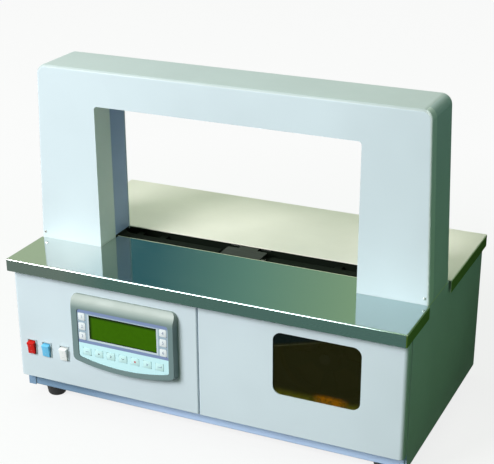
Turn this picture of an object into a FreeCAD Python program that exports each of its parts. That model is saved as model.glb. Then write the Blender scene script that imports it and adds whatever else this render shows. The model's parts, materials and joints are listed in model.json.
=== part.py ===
import FreeCAD, Part
import math
import os

# Table-top banknote strapping machine. A paper or film band runs round an arch
# over a steel table, and a sealing head under the slot joins and cuts it.
# Millimetres, +Z up, the front faces -Y. The origin is on the ground, under the
# centre of the tables.

# Whole machine
table_top_height = 224.0
overall_depth = 357.0
case_width = 574.0
front_table_side_overhang = 1.5
rear_table_side_overhang = 4.0
front_overhang = 12.5
rear_overhang = 6.5

# Sheets, cuts and running clearances
table_sheet = 1.5
case_sheet = 1.5
base_sheet = 2.0
overrun = 5.0
running_gap = 0.06
bond_gap = 0.05
slip_gap = 0.3
pick_margin = 1.0
weld_sink = 1.0
parallel_share = 0.999

# Tables
table_lip = 18.0
table_bend = 2.0
band_slot_width = 41.0

# Arch
arch_height = 252.0
arch_setback = 90.3
arch_foot_depth = 82.4
arch_top_depth = 80.4
arch_side_lean = 9.5
arch_leg_width = 97.0
arch_opening_height = 202.5
arch_wall = 2.0
arch_return_wall = 1.5
arch_corner_round = 14.0
arch_front_round = 4.0
arch_opening_round = 5.0
arch_back_sheet = 1.5
arch_to_rear_table = 5.6

# Band guide track and its flaps
band_width = 30.0
band_side_play = 0.5
band_plane_setback = 60.2
track_gap = 3.5
track_web = 2.0
track_cheek = 1.0
track_bend = 12.0
slot_floor_depth = 6.0
slot_floor_break = 76.0
slot_rib_width = 10.0
slot_rib_height = 20.0
slot_rib_clearance = 4.0
slot_rib_count = 2
flap_sheet = 1.5
flap_pin_radius = 1.0
flap_tube_radius = 1.9
flap_front_gap = 0.5
lug_width = 2.5
leg_flap_top_gap = 6.0
top_flap_end_gap = 13.5

# Posts that carry the arch
post_width = 30.0
post_depth = 24.0
post_wall = 3.0
post_inset = 29.0
post_drop = 38.0
post_head_height = 180.0
post_shoulder_gap = 1.0

# Base pan and feet
foot_height = 16.0
foot_top_radius = 15.0
foot_bottom_radius = 12.5
foot_inset = 35.5
foot_to_base_edge = 16.5
base_flange = 22.0
base_bend = 2.5
floor_vent_length = 60.0
floor_vent_width = 3.0
floor_vent_pitch = 12.0
floor_vent_count = 7

# Side, rear and front covers
side_front_setback = 17.0
side_flange = 12.0
cover_bottom_height = 24.0
cover_top_gap = 1.0
cover_corner_round = 6.0
cover_edge_round = 2.0
seam_to_panel = 28.6
seam_gap = 1.6
door_flange_depth = 13.0
rear_vent_length = 60.0
rear_vent_width = 3.0
rear_vent_pitch = 8.0
rear_vent_count = 9
rear_vent_outset = 120.0
rear_vent_drop = 60.0

# Door window, pivots and catch
window_width = 120.6
window_height = 89.4
window_x = 167.0
window_drop = 63.0
window_round = 12.0
window_pane = 3.0
window_margin = 8.0
pivot_side_inset = 6.0
pivot_front_inset = 10.0
pivot_radius = 2.5
pivot_reach = 6.0
pivot_arm = 2.0
pivot_arm_inset = 9.0
pivot_arm_outset = 3.0
pivot_arm_front = 5.0
pivot_leg = 14.0
pivot_arm_gap = 0.4
catch_width = 24.0
catch_outset = 12.0
catch_plate = 2.0
catch_setback = 10.0
catch_drop = 32.0
catch_foot = 16.0
catch_magnet_height = 12.0
catch_magnet_drop = 21.5

# Control panel housing
panel_side_inset = 95.5
panel_width = 161.5
panel_top_drop = 18.0
panel_side_height = 99.0
panel_sag = 10.0
panel_stand = 11.0
panel_draft = 2.4
panel_corner_round = 8.0
panel_hood_edge = 2.0
panel_hood_height = 18.7
panel_hood_crown = 1.2
panel_hood_over = 1.0
panel_hood_lip = 0.5
recess_left_inset = 11.5
recess_right_inset = 9.8
recess_bottom_inset = 8.5
recess_sag = 9.0
recess_depth = 2.2
recess_round = 4.0
panel_pocket_wall = 3.0
panel_box_margin = 10.0
panel_box_depth = 26.0

# Display, keypad film and keys
film_thickness = 1.2
display_inset = 30.0
display_width = 103.5
display_top_inset = 25.7
display_height = 35.9
display_lens = 1.1
key_travel = 0.4
key_thickness = 1.2
key_corner = 1.2
function_key_width = 10.6
function_key_height = 11.0
function_key_inset = 18.6
function_key_span = 125.2
function_key_drop = 29.8
function_key_pitch = 14.6
function_key_rows = 3
pad_key_width = 12.6
pad_key_height = 10.6
pad_key_inset = 24.5
pad_key_pitch = 18.8
pad_key_drop = 81.8

# Rocker switches
switch_first_inset = 23.0
switch_second_inset = 47.2
switch_third_inset = 75.8
switch_drop = 116.2
switch_flange_width = 15.6
switch_flange_height = 23.0
switch_flange = 1.2
switch_body_width = 13.6
switch_body_height = 21.4
switch_body_depth = 18.0
switch_mouth_width = 12.2
switch_mouth_height = 20.2
switch_mouth_depth = 8.0
rocker_width = 11.6
rocker_height = 17.8
rocker_pivot_depth = 3.0
rocker_stand = 5.2
rocker_dish = 1.0
rocker_tail = 3.0
rocker_tilt = 10.0
rocker_trunnion_radius = 1.0
rocker_trunnion = 0.6

# Main plate that carries the band drive and the sealing head
plate_thickness = 6.0
plate_setback = 1.2
plate_end_inset = 13.0
plate_foot_depth = 25.0
plate_foot = 3.0
wire_hole_width = 40.0
wire_hole_height = 24.0
wire_hole_side_inset = 72.0
wire_hole_z = 60.0
wire_hole_round = 8.0

# Sealing head
head_half_width = 36.0
head_cheek = 8.0
head_top_drop = 11.0
head_block_height = 50.0
head_margin = 3.0
head_cheek_round = 7.0
bar_top_drop = 10.5
bar_gap = 0.3
gripper_inner_x = 14.0
gripper_outer_x = 30.0
gripper_groove = 1.5
gripper_groove_count = 4
press_left_x = -12.0
press_right_x = 9.4
press_head_width = 12.0
press_head_height = 9.0
cutter_left_x = 10.4
cutter_right_x = 12.6
cutter_bevel = 6.0
cam_low_radius = 14.0
cam_lift = 6.0
cam_gap = 0.6
cam_shaft_radius = 6.0
cam_shaft_overhang = 6.0
cam_shaft_tail = 28.0
cam_centre_drop = 104.0
cam_width = 10.0
cam_rise_angle = 120.0
cam_dwell_angle = 30.0
cam_fall_angle = 165.0
cam_rest_angle = 45.0
cam_rise_arcs = 2
cam_fall_arcs = 3
anvil_thickness = 1.6
anvil_half_width = 30.0
anvil_lap = 4.8
anvil_rear_margin = 3.0
anvil_tail_half_width = 14.0
anvil_tail_length = 60.0
anvil_tail_drop = 5.0
anvil_rail = 5.0
anvil_rail_length = 105.0
anvil_rail_height = 9.0
anvil_groove_play = 0.1

# Sealing head motor
seal_gear_length = 40.0
seal_gear_height = 58.0
seal_can_radius = 26.0
seal_can_length = 72.0
seal_gear_round = 4.0
seal_shaft_seat = 6.0
seal_seat_play = 1.0

# Band feed
feed_x = 68.0
feed_drop = 46.0
feed_roller_radius = 16.0
feed_hub_radius = 11.0
feed_shaft_radius = 4.0
feed_shaft_nose = 3.0
feed_shaft_seat = 12.0
feed_seat_play = 1.0
feed_gear_half = 22.0
feed_gear_length = 25.0
feed_boss_radius = 11.5
feed_can_radius = 20.0
feed_can_length = 48.0
pinch_radius = 9.0
pinch_axle_radius = 3.0
pinch_nip = 0.35
pinch_arm_reach = 36.0
pinch_arm_drop = 3.4
pinch_arm_radius = 8.0
pinch_arm_thickness = 5.0
pinch_arm_stand = 4.0
pinch_stud_radius = 4.0
pinch_stud_length = 14.0

# Band reel
roll_head_gap = 17.0
roll_floor_gap = 10.0
roll_table_gap = 42.0
reel_spindle_radius = 8.0
reel_spindle_length = 64.0
reel_spindle_flange_radius = 16.0
reel_spindle_flange = 4.0
reel_core_radius = 24.0
reel_flange_inset = 10.0
reel_flange = 3.0
reel_hub_back_gap = 0.5
reel_knob_radius = 20.0
reel_knob_length = 14.0
reel_knob_scoops = 6
reel_knob_scoop = 3.0
reel_window_inner = 28.0
reel_window_rim = 8.0
reel_window_share = 0.62
reel_window_count = 5

# Electrics
inlet_side_inset = 61.0
inlet_z = 74.0
inlet_flange_width = 50.0
inlet_flange_height = 32.0
inlet_flange = 2.5
inlet_corner_round = 5.0
inlet_mouth_round = 4.0
inlet_body_width = 28.0
inlet_body_height = 21.0
inlet_body_depth = 24.0
inlet_mouth_width = 24.0
inlet_mouth_height = 16.5
inlet_mouth_depth = 17.0
inlet_pin_width = 4.0
inlet_pin_thickness = 2.0
inlet_pin_length = 12.0
inlet_pin_pitch = 7.0
inlet_pin_stagger = 2.0
board_plate_inset = 84.0
board_width = 150.0
board_drop = 18.5
board_height = 100.0
board_thickness = 1.6
board_stand = 12.0
board_stand_half = 3.5
board_stand_inset = 8.0
capacitor_radius = 11.0
capacitor_length = 30.0
capacitor_pitch = 26.0
capacitor_height = 22.0
capacitor_count = 2
heat_sink_width = 60.0
heat_sink_inset = 16.0
heat_sink_height = 34.0
heat_sink_depth = 22.0
heat_sink_fin = 2.5
heat_sink_fin_pitch = 7.5
terminal_width = 90.0
terminal_height = 12.0
terminal_depth = 14.0

# Places that follow from the sizes above
case_side_x = case_width / 2
table_front_y = -overall_depth / 2
table_back_y = overall_depth / 2
case_front_y = table_front_y + front_overhang
case_back_y = table_back_y - rear_overhang
arch_front_y = table_front_y + arch_setback
arch_back_y = arch_front_y + arch_foot_depth
rear_table_front_y = arch_back_y + arch_to_rear_table
front_table_rear_y = rear_table_front_y - band_slot_width
table_under_z = table_top_height - table_sheet
lip_bottom_z = table_top_height - table_lip
base_bottom_z = foot_height
base_floor_z = base_bottom_z + base_sheet
cover_bottom_z = base_bottom_z + cover_bottom_height
cover_top_z = lip_bottom_z - cover_top_gap
side_front_y = case_front_y + side_front_setback
base_front_y = side_front_y + case_sheet
plate_front_y = rear_table_front_y + plate_setback
plate_back_y = plate_front_y + plate_thickness
opening_x = case_side_x - arch_leg_width
opening_top_z = table_top_height + arch_opening_height
arch_top_z = table_top_height + arch_height
arch_split_y = arch_front_y + arch_foot_depth / 2
back_plate_y = arch_back_y - arch_back_sheet
band_y = arch_front_y + band_plane_setback
track_front_y = band_y - band_width / 2 - band_side_play
track_rear_y = band_y + band_width / 2 + band_side_play
track_depth = flap_sheet + track_gap
flap_pin_inset = flap_tube_radius
flap_pin_y = back_plate_y - flap_tube_radius - slip_gap
slot_floor_z = table_top_height - slot_floor_depth
head_top_z = table_top_height - head_top_drop
bar_top_z = table_top_height - bar_top_drop
cam_z = table_top_height - cam_centre_drop
bar_foot_z = cam_z + cam_low_radius + cam_gap
anvil_top_z = table_under_z - slip_gap
anvil_bottom_z = anvil_top_z - anvil_thickness
pivot_x = case_side_x - pivot_side_inset
pivot_y = case_front_y + pivot_front_inset
catch_magnet_z = table_under_z - catch_magnet_drop
window_z = cover_top_z - window_drop
switch_z = cover_top_z - switch_drop
panel_left_x = -case_side_x + panel_side_inset
panel_right_x = panel_left_x + panel_width
recess_left_x = panel_left_x + recess_left_inset
recess_right_x = panel_right_x - recess_right_inset
display_left_x = panel_left_x + display_inset
display_right_x = display_left_x + display_width
function_key_left_x = panel_left_x + function_key_inset
function_key_right_x = function_key_left_x + function_key_span
pad_key_first_x = panel_left_x + pad_key_inset
seam_x = panel_right_x + seam_to_panel
panel_top_z = cover_top_z - panel_top_drop
panel_side_bottom_z = panel_top_z - panel_side_height
recess_side_bottom_z = panel_side_bottom_z + recess_bottom_inset
display_top_z = panel_top_z - display_top_inset
display_bottom_z = display_top_z - display_height
function_key_top_z = panel_top_z - function_key_drop
pad_key_z = panel_top_z - pad_key_drop
panel_rim_y = case_front_y - panel_stand
recess_floor_y = panel_rim_y + recess_depth
film_front_y = recess_floor_y - film_thickness
recess_top_z = panel_top_z - panel_hood_height
feed_z = table_top_height - feed_drop
roll_radius = (table_top_height - base_bottom_z - roll_floor_gap - roll_table_gap) / 2
reel_x = head_half_width + head_cheek + roll_head_gap + roll_radius
reel_z = base_bottom_z + roll_floor_gap + roll_radius
reel_flange_radius = roll_radius - reel_flange_inset
reel_window_outer = reel_flange_radius - reel_window_rim
wire_hole_x = -case_side_x + wire_hole_side_inset
board_left_x = -case_side_x + plate_end_inset + board_plate_inset
board_right_x = board_left_x + board_width
board_top_z = table_under_z - board_drop
board_bottom_z = board_top_z - board_height
inlet_x = -case_side_x + inlet_side_inset
pinch_x = feed_x
pinch_z = feed_z + feed_roller_radius + pinch_nip + pinch_radius
pinch_pivot_x = pinch_x + pinch_arm_reach
pinch_pivot_z = pinch_z - pinch_arm_drop
slot_rib_start_x = pinch_pivot_x + pinch_arm_radius + slot_rib_clearance
tyre_front_y = band_y - band_width / 2
tyre_back_y = band_y + band_width / 2


# Shapes used all over

def vec(x, y, z):
    return FreeCAD.Vector(x, y, z)


def block(x_low, x_high, y_low, y_high, z_low, z_high):
    corner = vec(x_low, y_low, z_low)
    return Part.makeBox(x_high - x_low, y_high - y_low, z_high - z_low, corner)


def rod_x(y, z, radius, x_low, x_high):
    return Part.makeCylinder(radius, x_high - x_low, vec(x_low, y, z), vec(1, 0, 0))


def rod_y(x, z, radius, y_low, y_high):
    return Part.makeCylinder(radius, y_high - y_low, vec(x, y_low, z), vec(0, 1, 0))


def rod_z(x, y, radius, z_low, z_high):
    return Part.makeCylinder(radius, z_high - z_low, vec(x, y, z_low), vec(0, 0, 1))


def prism(points, reach):
    """Closed polygon through the points, swept along the reach vector."""
    outline = Part.makePolygon(points + points[:1])
    return Part.Face(outline).extrude(reach)


def prism_x(outline, x_low, x_high):
    """Outline of (y, z) pairs."""
    points = [vec(x_low, y, z) for y, z in outline]
    return prism(points, vec(x_high - x_low, 0, 0))


def prism_y(outline, y_low, y_high):
    """Outline of (x, z) pairs."""
    points = [vec(x, y_low, z) for x, z in outline]
    return prism(points, vec(0, y_high - y_low, 0))


def edges_along(shape, axis, chosen):
    """Straight edges that run along the axis and whose middle passes the test."""
    straight = [edge for edge in shape.Edges if isinstance(edge.Curve, Part.Line)]
    return [edge for edge in straight
            if abs(edge.Curve.Direction.dot(axis)) > parallel_share and chosen(edge.CenterOfMass)]


def round_along(shape, axis, radius, chosen=lambda middle: True):
    return shape.makeFillet(radius, edges_along(shape, axis, chosen))


def soft_block_y(x_low, x_high, y_low, y_high, z_low, z_high, radius):
    """Block whose four edges along Y are rounded."""
    plain = block(x_low, x_high, y_low, y_high, z_low, z_high)
    return round_along(plain, vec(0, 1, 0), radius)


def soft_plate_y(x, z, width, height, y_low, y_high, radius):
    """Rounded rectangle centred on x and z."""
    return soft_block_y(x - width / 2, x + width / 2, y_low, y_high, z - height / 2, z + height / 2,
                        radius)


def join(shapes):
    return shapes[0].multiFuse(shapes[1:]).removeSplitter()


def mirrored(shape):
    return shape.mirror(vec(0, 0, 0), vec(1, 0, 0))


def save(name, shape):
    shape.exportStep("parts/" + name + ".step")
    print(name, len(shape.Solids), round(shape.Volume), shape.isValid())


# Case

def base_pan():
    """Folded tray that everything stands on, with vent slots in its floor."""
    half = case_side_x - case_sheet
    back = case_back_y - case_sheet
    top = base_bottom_z + base_flange
    outer = block(-half, half, base_front_y, back, base_bottom_z, top)
    outer = round_along(outer, vec(1, 0, 0), base_bend, lambda middle: middle.z < base_floor_z)
    hollow = block(-half + base_sheet, half - base_sheet, base_front_y + base_sheet, back - base_sheet,
                   base_floor_z, top + overrun)
    pan = outer.cut(hollow)
    slots = []
    for side in (-1, 1):
        for number in range(floor_vent_count):
            middle_x = side * half / 2
            slot_y = (number - (floor_vent_count - 1) / 2) * floor_vent_pitch + back / 2
            slots.append(block(middle_x - floor_vent_length / 2, middle_x + floor_vent_length / 2,
                               slot_y, slot_y + floor_vent_width, base_bottom_z - overrun,
                               base_floor_z + overrun))
    return pan.cut(Part.makeCompound(slots))


def rubber_feet():
    """Four tapered feet, moulded in rubber."""
    front = base_front_y + foot_to_base_edge
    back = case_back_y - case_sheet - foot_to_base_edge
    feet = []
    for side in (-1, 1):
        for y in (front, back):
            x = side * (case_side_x - foot_inset)
            feet.append(Part.makeCone(foot_bottom_radius, foot_top_radius, foot_height, vec(x, y, 0)))
    return Part.makeCompound(feet)


def side_panel_right():
    """Flat side sheet with flanges turned in along its front, top and rear edges."""
    inner = case_side_x - side_flange
    outer = block(inner, case_side_x, side_front_y, case_back_y, base_bottom_z, table_under_z)
    hollow = block(inner - overrun, case_side_x - case_sheet, side_front_y + case_sheet,
                   case_back_y - case_sheet,
                   base_bottom_z - overrun, table_under_z - case_sheet)
    return outer.cut(hollow)


def rear_panel():
    """Back sheet with two banks of cooling slots and the mains inlet hole."""
    half = case_side_x - case_sheet
    back = case_back_y - case_sheet
    bottom = base_bottom_z + base_flange
    top = table_under_z - case_sheet
    sheet = block(-half, half, back - case_sheet, back, bottom, top)
    cuts = []
    for side in (-1, 1):
        for number in range(rear_vent_count):
            slot_z = table_under_z - rear_vent_drop - (number - (rear_vent_count - 1) / 2) * rear_vent_pitch
            x = side * rear_vent_outset
            cuts.append(block(x - rear_vent_length / 2, x + rear_vent_length / 2, back - overrun,
                              back + overrun,
                              slot_z - rear_vent_width / 2, slot_z + rear_vent_width / 2))
    cuts.append(block(inlet_x - inlet_body_width / 2 - slip_gap,
                      inlet_x + inlet_body_width / 2 + slip_gap,
                      back - overrun, back + overrun,
                      inlet_z - inlet_body_height / 2 - slip_gap,
                      inlet_z + inlet_body_height / 2 + slip_gap))
    return sheet.cut(Part.makeCompound(cuts))


def cover_pan(x_low, x_high, depth, left_round, right_round):
    """Shallow sheet tray with its open side to the rear and rounded front edges."""
    def shell(inset, reach):
        body = block(x_low + inset, x_high - inset, case_front_y + inset, case_front_y + reach,
                     cover_bottom_z + inset, cover_top_z - inset)
        upright = vec(0, 0, 1)
        middle_x = (x_low + x_high) / 2
        front = case_front_y + inset
        body = round_along(body, upright, left_round - inset,
                           lambda middle: middle.x < middle_x and middle.y < front + inset + pick_margin)
        body = round_along(body, upright, right_round - inset,
                           lambda middle: middle.x > middle_x and middle.y < front + inset + pick_margin)
        return body
    return shell(0, depth).cut(shell(case_sheet, depth + overrun))


def switch_places():
    return [-case_side_x + inset for inset in (switch_first_inset, switch_second_inset,
                                               switch_third_inset)]


def front_panel():
    """Left cover, which carries the control panel and the three rocker switches."""
    cover = cover_pan(-case_side_x, seam_x - seam_gap / 2, side_front_setback, cover_corner_round,
                      cover_edge_round)
    front = case_front_y - overrun
    back = case_front_y + overrun
    cuts = [panel_box(slip_gap, front, back)]
    for x in switch_places():
        cuts.append(block(x - switch_body_width / 2 - slip_gap, x + switch_body_width / 2 + slip_gap,
                          front, back,
                          switch_z - switch_body_height / 2 - slip_gap,
                          switch_z + switch_body_height / 2 + slip_gap))
    return cover.cut(Part.makeCompound(cuts))


def front_door():
    """Right cover, hung on two pivots at its right edge, with a window for the reel."""
    cover = cover_pan(seam_x + seam_gap / 2, case_side_x, door_flange_depth, cover_edge_round,
                      cover_corner_round)
    window = soft_plate_y(window_x, window_z, window_width, window_height, case_front_y - overrun,
                          case_front_y + overrun, window_round)
    pivots = rod_z(pivot_x, pivot_y, pivot_radius + running_gap, cover_bottom_z - overrun,
                   cover_top_z + overrun)
    return cover.cut(window).cut(pivots)


def door_window():
    """Smoked pane fixed behind the door sheet."""
    front = case_front_y + case_sheet
    return soft_plate_y(window_x, window_z, window_width + window_margin * 2,
                        window_height + window_margin * 2,
                        front, front + window_pane, window_round)


def door_pivots():
    """Angle brackets on the side panel, each with a pin that enters the door."""
    left = pivot_x - pivot_arm_inset
    right = pivot_x + pivot_arm_outset

    def bracket(arm_z, away, leg_end):
        low = min(arm_z, arm_z + away * pivot_arm)
        high = max(arm_z, arm_z + away * pivot_arm)
        arm = block(left, right, pivot_y - pivot_arm_front, side_front_y, low, high)
        leg = block(left, right, side_front_y - pivot_arm, side_front_y, min(low, leg_end),
                    max(high, leg_end))
        pin_end = arm_z - away * pivot_reach
        pin = rod_z(pivot_x, pivot_y, pivot_radius, min(arm_z, pin_end), max(arm_z, pin_end))
        return join([arm, leg, pin])
    upper = cover_top_z + pivot_arm_gap
    lower = cover_bottom_z - pivot_arm_gap
    return Part.makeCompound([bracket(upper, 1, upper + pivot_leg),
                              bracket(lower, -1, lower - pivot_leg)])


def door_catch():
    """Magnetic catch that hangs from the table behind the free edge of the door."""
    left = seam_x + catch_outset
    right = left + catch_width
    door_rear = case_front_y + door_flange_depth
    plate_front = door_rear + catch_setback
    magnet = block(left, right, door_rear + slip_gap, plate_front,
                   catch_magnet_z - catch_magnet_height / 2, catch_magnet_z + catch_magnet_height / 2)
    plate = block(left, right, plate_front, plate_front + catch_plate, table_under_z - catch_drop,
                  table_under_z)
    foot = block(left, right, plate_front, plate_front + catch_foot, table_under_z - catch_plate,
                 table_under_z)
    return join([magnet, plate, foot])


# Tables

def lipped_sheet(half, y_low, y_high, open_side):
    """Table sheet with lips on both sides and on one long edge."""
    outer = block(-half, half, y_low, y_high, lip_bottom_z, table_top_height)
    top = table_top_height - pick_margin
    lip_y = y_low if open_side > 0 else y_high
    outer = round_along(outer, vec(1, 0, 0), table_bend,
                        lambda middle: middle.z > top and abs(middle.y - lip_y) < pick_margin)
    outer = round_along(outer, vec(0, 1, 0), table_bend, lambda middle: middle.z > top)
    inner_low = y_low - overrun if open_side < 0 else y_low + table_sheet
    inner_high = y_high + overrun if open_side > 0 else y_high - table_sheet
    hollow = block(-half + table_sheet, half - table_sheet, inner_low, inner_high,
                   lip_bottom_z - overrun, table_under_z)
    return outer.cut(hollow)


def front_table():
    """Polished table sheet, with a tongue between the arch legs up to the band slot."""
    rear = arch_front_y - slip_gap
    sheet = lipped_sheet(case_side_x + front_table_side_overhang, table_front_y, rear, 1)
    tongue = block(-opening_x + slip_gap, opening_x - slip_gap, rear - table_sheet, front_table_rear_y,
                   table_under_z, table_top_height)
    return join([sheet, tongue])


def rear_table():
    """Satin table sheet behind the arch."""
    return lipped_sheet(case_side_x + rear_table_side_overhang, rear_table_front_y, table_back_y, -1)


# Arch

def arch_half_width(z):
    """The arch tapers evenly from the case side up to its top."""
    rise_share = (z - table_under_z) / (arch_top_z - table_under_z)
    return case_side_x - rise_share * arch_side_lean


def tapered_body(side_inset, top_inset, front_inset, rear_reach, corner_round):
    """Solid between a wide foot and a narrower, shallower top, with round top corners."""
    def level(z, front, back):
        half = arch_half_width(z) - side_inset
        return Part.makePolygon([vec(-half, front, z), vec(half, front, z), vec(half, back, z),
                                 vec(-half, back, z), vec(-half, front, z)])
    lean = (arch_foot_depth - arch_top_depth) / 2
    foot = level(table_under_z, arch_front_y + front_inset, arch_back_y + rear_reach)
    top_z = arch_top_z - top_inset
    top = level(top_z, arch_front_y + front_inset + lean, arch_back_y - lean + rear_reach)
    body = Part.makeLoft([foot, top], True, True)
    return round_along(body, vec(0, 1, 0), corner_round, lambda middle: middle.z > top_z - pick_margin)


def opening_prism(offset, radius, y_low, y_high, bottom_z):
    """The arch opening, grown by an offset, with round top corners."""
    half = opening_x + offset
    top = opening_top_z + offset
    plain = block(-half, half, y_low, y_high, bottom_z, top)
    return round_along(plain, vec(0, 1, 0), radius, lambda middle: middle.z > top - pick_margin)


def arch_cover():
    """Painted front shell: face, outer walls, and returns half way through the opening."""
    body = tapered_body(0, 0, 0, 0, arch_corner_round)
    front_middle_y = arch_front_y + arch_front_round
    front_edges = [edge for edge in body.Edges
                   if edge.BoundBox.YMax < front_middle_y and edge.CenterOfMass.z > table_top_height]
    body = body.makeFillet(arch_front_round, front_edges)
    hollow = tapered_body(arch_wall, arch_wall, arch_wall, overrun, arch_corner_round - arch_wall)
    opening = opening_prism(0, arch_opening_round, arch_front_y - overrun, arch_back_y + overrun,
                            table_under_z - overrun)
    lined = opening_prism(arch_return_wall, arch_opening_round + arch_return_wall,
                          arch_front_y + arch_wall / 2,
                          arch_split_y, table_under_z)
    returns = lined.common(body)
    return join([body.cut(hollow), returns]).cut(opening)


def arch_back_plate():
    """Flat plate that closes the rear of the arch, set in between its walls."""
    inset = arch_wall + slip_gap
    top = arch_top_z - inset
    low_half = arch_half_width(table_under_z) - inset
    top_half = arch_half_width(top) - inset
    outline = [(-low_half, table_under_z), (low_half, table_under_z), (top_half, top), (-top_half, top)]
    plate = prism_y(outline, back_plate_y, arch_back_y)
    plate = round_along(plate, vec(0, 1, 0), arch_corner_round - inset,
                        lambda middle: middle.z > top - pick_margin)
    opening = opening_prism(0, arch_opening_round, back_plate_y - overrun, arch_back_y + overrun,
                            table_under_z - overrun)
    return plate.cut(opening)


def track_prism(offset, y_low, y_high):
    """The closed band loop, grown by an offset from the face of the guide gap."""
    half = opening_x + track_depth + offset
    return soft_block_y(-half, half, y_low, y_high, slot_floor_z - offset,
                        opening_top_z + track_depth + offset,
                        track_bend + offset)


def leg_pin_x():
    return opening_x + flap_pin_inset


def top_pin_z():
    return opening_top_z + flap_pin_inset


def leg_flap_span():
    """Lower and upper end of the flaps in the legs."""
    return table_top_height + lug_width, opening_top_z - leg_flap_top_gap


def top_flap_half():
    return opening_x - top_flap_end_gap


def pin_lugs():
    """Six lugs on the guide track, two for each flap pin, which is riveted between them."""
    lugs = []
    web_x = opening_x + track_depth
    low, high = leg_flap_span()
    for side in (-1, 1):
        for z in (low - slip_gap - lug_width, high + slip_gap):
            ends = sorted((side * (opening_x + slip_gap), side * web_x))
            lugs.append(block(ends[0], ends[1], track_rear_y, back_plate_y, z, z + lug_width))
        start = top_flap_half() + slip_gap
        ends = sorted((side * start, side * (start + lug_width)))
        lugs.append(block(ends[0], ends[1], track_rear_y, back_plate_y, opening_top_z + slip_gap,
                          opening_top_z + track_depth))
    return lugs


def arch_guide_track():
    """Channel round the opening that the band is shot through, open to the inside."""
    loop = track_prism(track_web, track_front_y - track_cheek, back_plate_y)
    web = loop.cut(track_prism(0, track_front_y - overrun, back_plate_y + overrun))
    cheeks = []
    for front in (track_front_y - track_cheek, track_rear_y):
        cheek = track_prism(track_web, front, front + track_cheek)
        mouth = opening_prism(flap_sheet + slip_gap, track_bend - track_gap, front - overrun,
                              front + track_cheek + overrun, slot_floor_z - overrun)
        cheeks.append(cheek.cut(mouth))
    track = join([web] + cheeks)
    half = opening_x + track_depth + track_web + overrun
    above_table = block(-half, half, track_front_y - overrun, back_plate_y + overrun, table_under_z,
                        opening_top_z + track_depth + track_web + overrun)
    return join([track.common(above_table)] + pin_lugs())


def slot_track():
    """Bright floor of the band slot, in two halves beside the head, each with a front guide strip."""
    solids = []
    half = opening_x + track_depth + track_web + overrun
    for y_low, y_high in ((track_front_y, track_rear_y), (track_front_y - track_cheek, track_front_y)):
        run = track_prism(track_web, y_low, y_high)
        if y_low == track_front_y:
            run = run.cut(track_prism(0, y_low - overrun, y_high + overrun))
        right = block(slot_floor_break / 2, half, y_low, y_high, slot_floor_z - track_web, table_under_z)
        solids.append(run.common(right))
    floor, strip = solids
    for number in range(slot_rib_count):
        x = slot_rib_start_x + (number + 1 / 2) * (opening_x - slot_rib_start_x) / slot_rib_count
        rib = block(x - slot_rib_width / 2, x + slot_rib_width / 2, track_front_y, plate_front_y,
                    slot_floor_z - track_web - slot_rib_height, slot_floor_z - track_web / 2)
        floor = floor.fuse(rib)
    floor = floor.removeSplitter()
    return Part.makeCompound([floor, strip, mirrored(floor), mirrored(strip)])


def leg_flap_right():
    """Spring flap that closes the guide in the right leg until the band is pulled out."""
    low, high = leg_flap_span()
    front = arch_split_y + flap_front_gap
    leaf = block(opening_x, opening_x + flap_sheet, front, flap_pin_y, low, high)
    tube = rod_z(leg_pin_x(), flap_pin_y, flap_tube_radius, low, high)
    bore = rod_z(leg_pin_x(), flap_pin_y, flap_pin_radius + running_gap, low - overrun, high + overrun)
    return join([leaf, tube]).cut(bore)


def top_flap():
    """Spring flap that closes the guide over the opening."""
    half = top_flap_half()
    front = arch_split_y + flap_front_gap
    leaf = block(-half, half, front, flap_pin_y, opening_top_z, opening_top_z + flap_sheet)
    tube = rod_x(flap_pin_y, top_pin_z(), flap_tube_radius, -half, half)
    bore = rod_x(flap_pin_y, top_pin_z(), flap_pin_radius + running_gap, -half - overrun, half + overrun)
    return join([leaf, tube]).cut(bore)


def flap_pins():
    """The three hinge rods of the flaps, from lug to lug."""
    low, high = leg_flap_span()
    end = top_flap_half() + slip_gap
    rods = [rod_x(flap_pin_y, top_pin_z(), flap_pin_radius, -end, end)]
    for side in (-1, 1):
        rods.append(rod_z(side * leg_pin_x(), flap_pin_y, flap_pin_radius, low - slip_gap,
                          high + slip_gap))
    return Part.makeCompound(rods)


def arch_posts():
    """Folded posts that stand on the main plate and carry the arch from inside its legs."""
    posts = []
    shoulder_z = table_under_z - post_shoulder_gap
    front = back_plate_y - post_depth
    bottom = table_top_height - post_drop
    top = table_top_height + post_head_height
    outline = [(front, bottom), (plate_front_y, bottom), (plate_front_y, shoulder_z),
               (back_plate_y, shoulder_z),
               (back_plate_y, top), (front, top)]
    foot_wall_y = plate_front_y - post_wall
    head_wall_y = back_plate_y - post_wall
    pocket = [(front - overrun, bottom + post_wall), (foot_wall_y, bottom + post_wall),
              (foot_wall_y, shoulder_z - post_wall), (head_wall_y, shoulder_z - post_wall),
              (head_wall_y, top - post_wall), (front - overrun, top - post_wall)]
    right = case_side_x - post_inset
    left = right - post_width
    post = prism_x(outline, left, right).cut(prism_x(pocket, left + post_wall, right - post_wall))
    posts.append(post)
    posts.append(mirrored(post))
    return Part.makeCompound(posts)


# Control panel

def sagging_outline(left, right, top, side_bottom, sag, y):
    """Closed outline in one Y plane: straight top and sides, and a bottom that sags in an arc."""
    middle = vec((left + right) / 2, y, side_bottom - sag)
    low_left = vec(left, y, side_bottom)
    low_right = vec(right, y, side_bottom)
    top_left = vec(left, y, top)
    top_right = vec(right, y, top)
    edges = [Part.LineSegment(top_left, top_right).toShape(),
             Part.LineSegment(top_right, low_right).toShape(),
             Part.Arc(low_right, middle, low_left).toShape(),
             Part.LineSegment(low_left, top_left).toShape()]
    return Part.Wire(edges)


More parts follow.
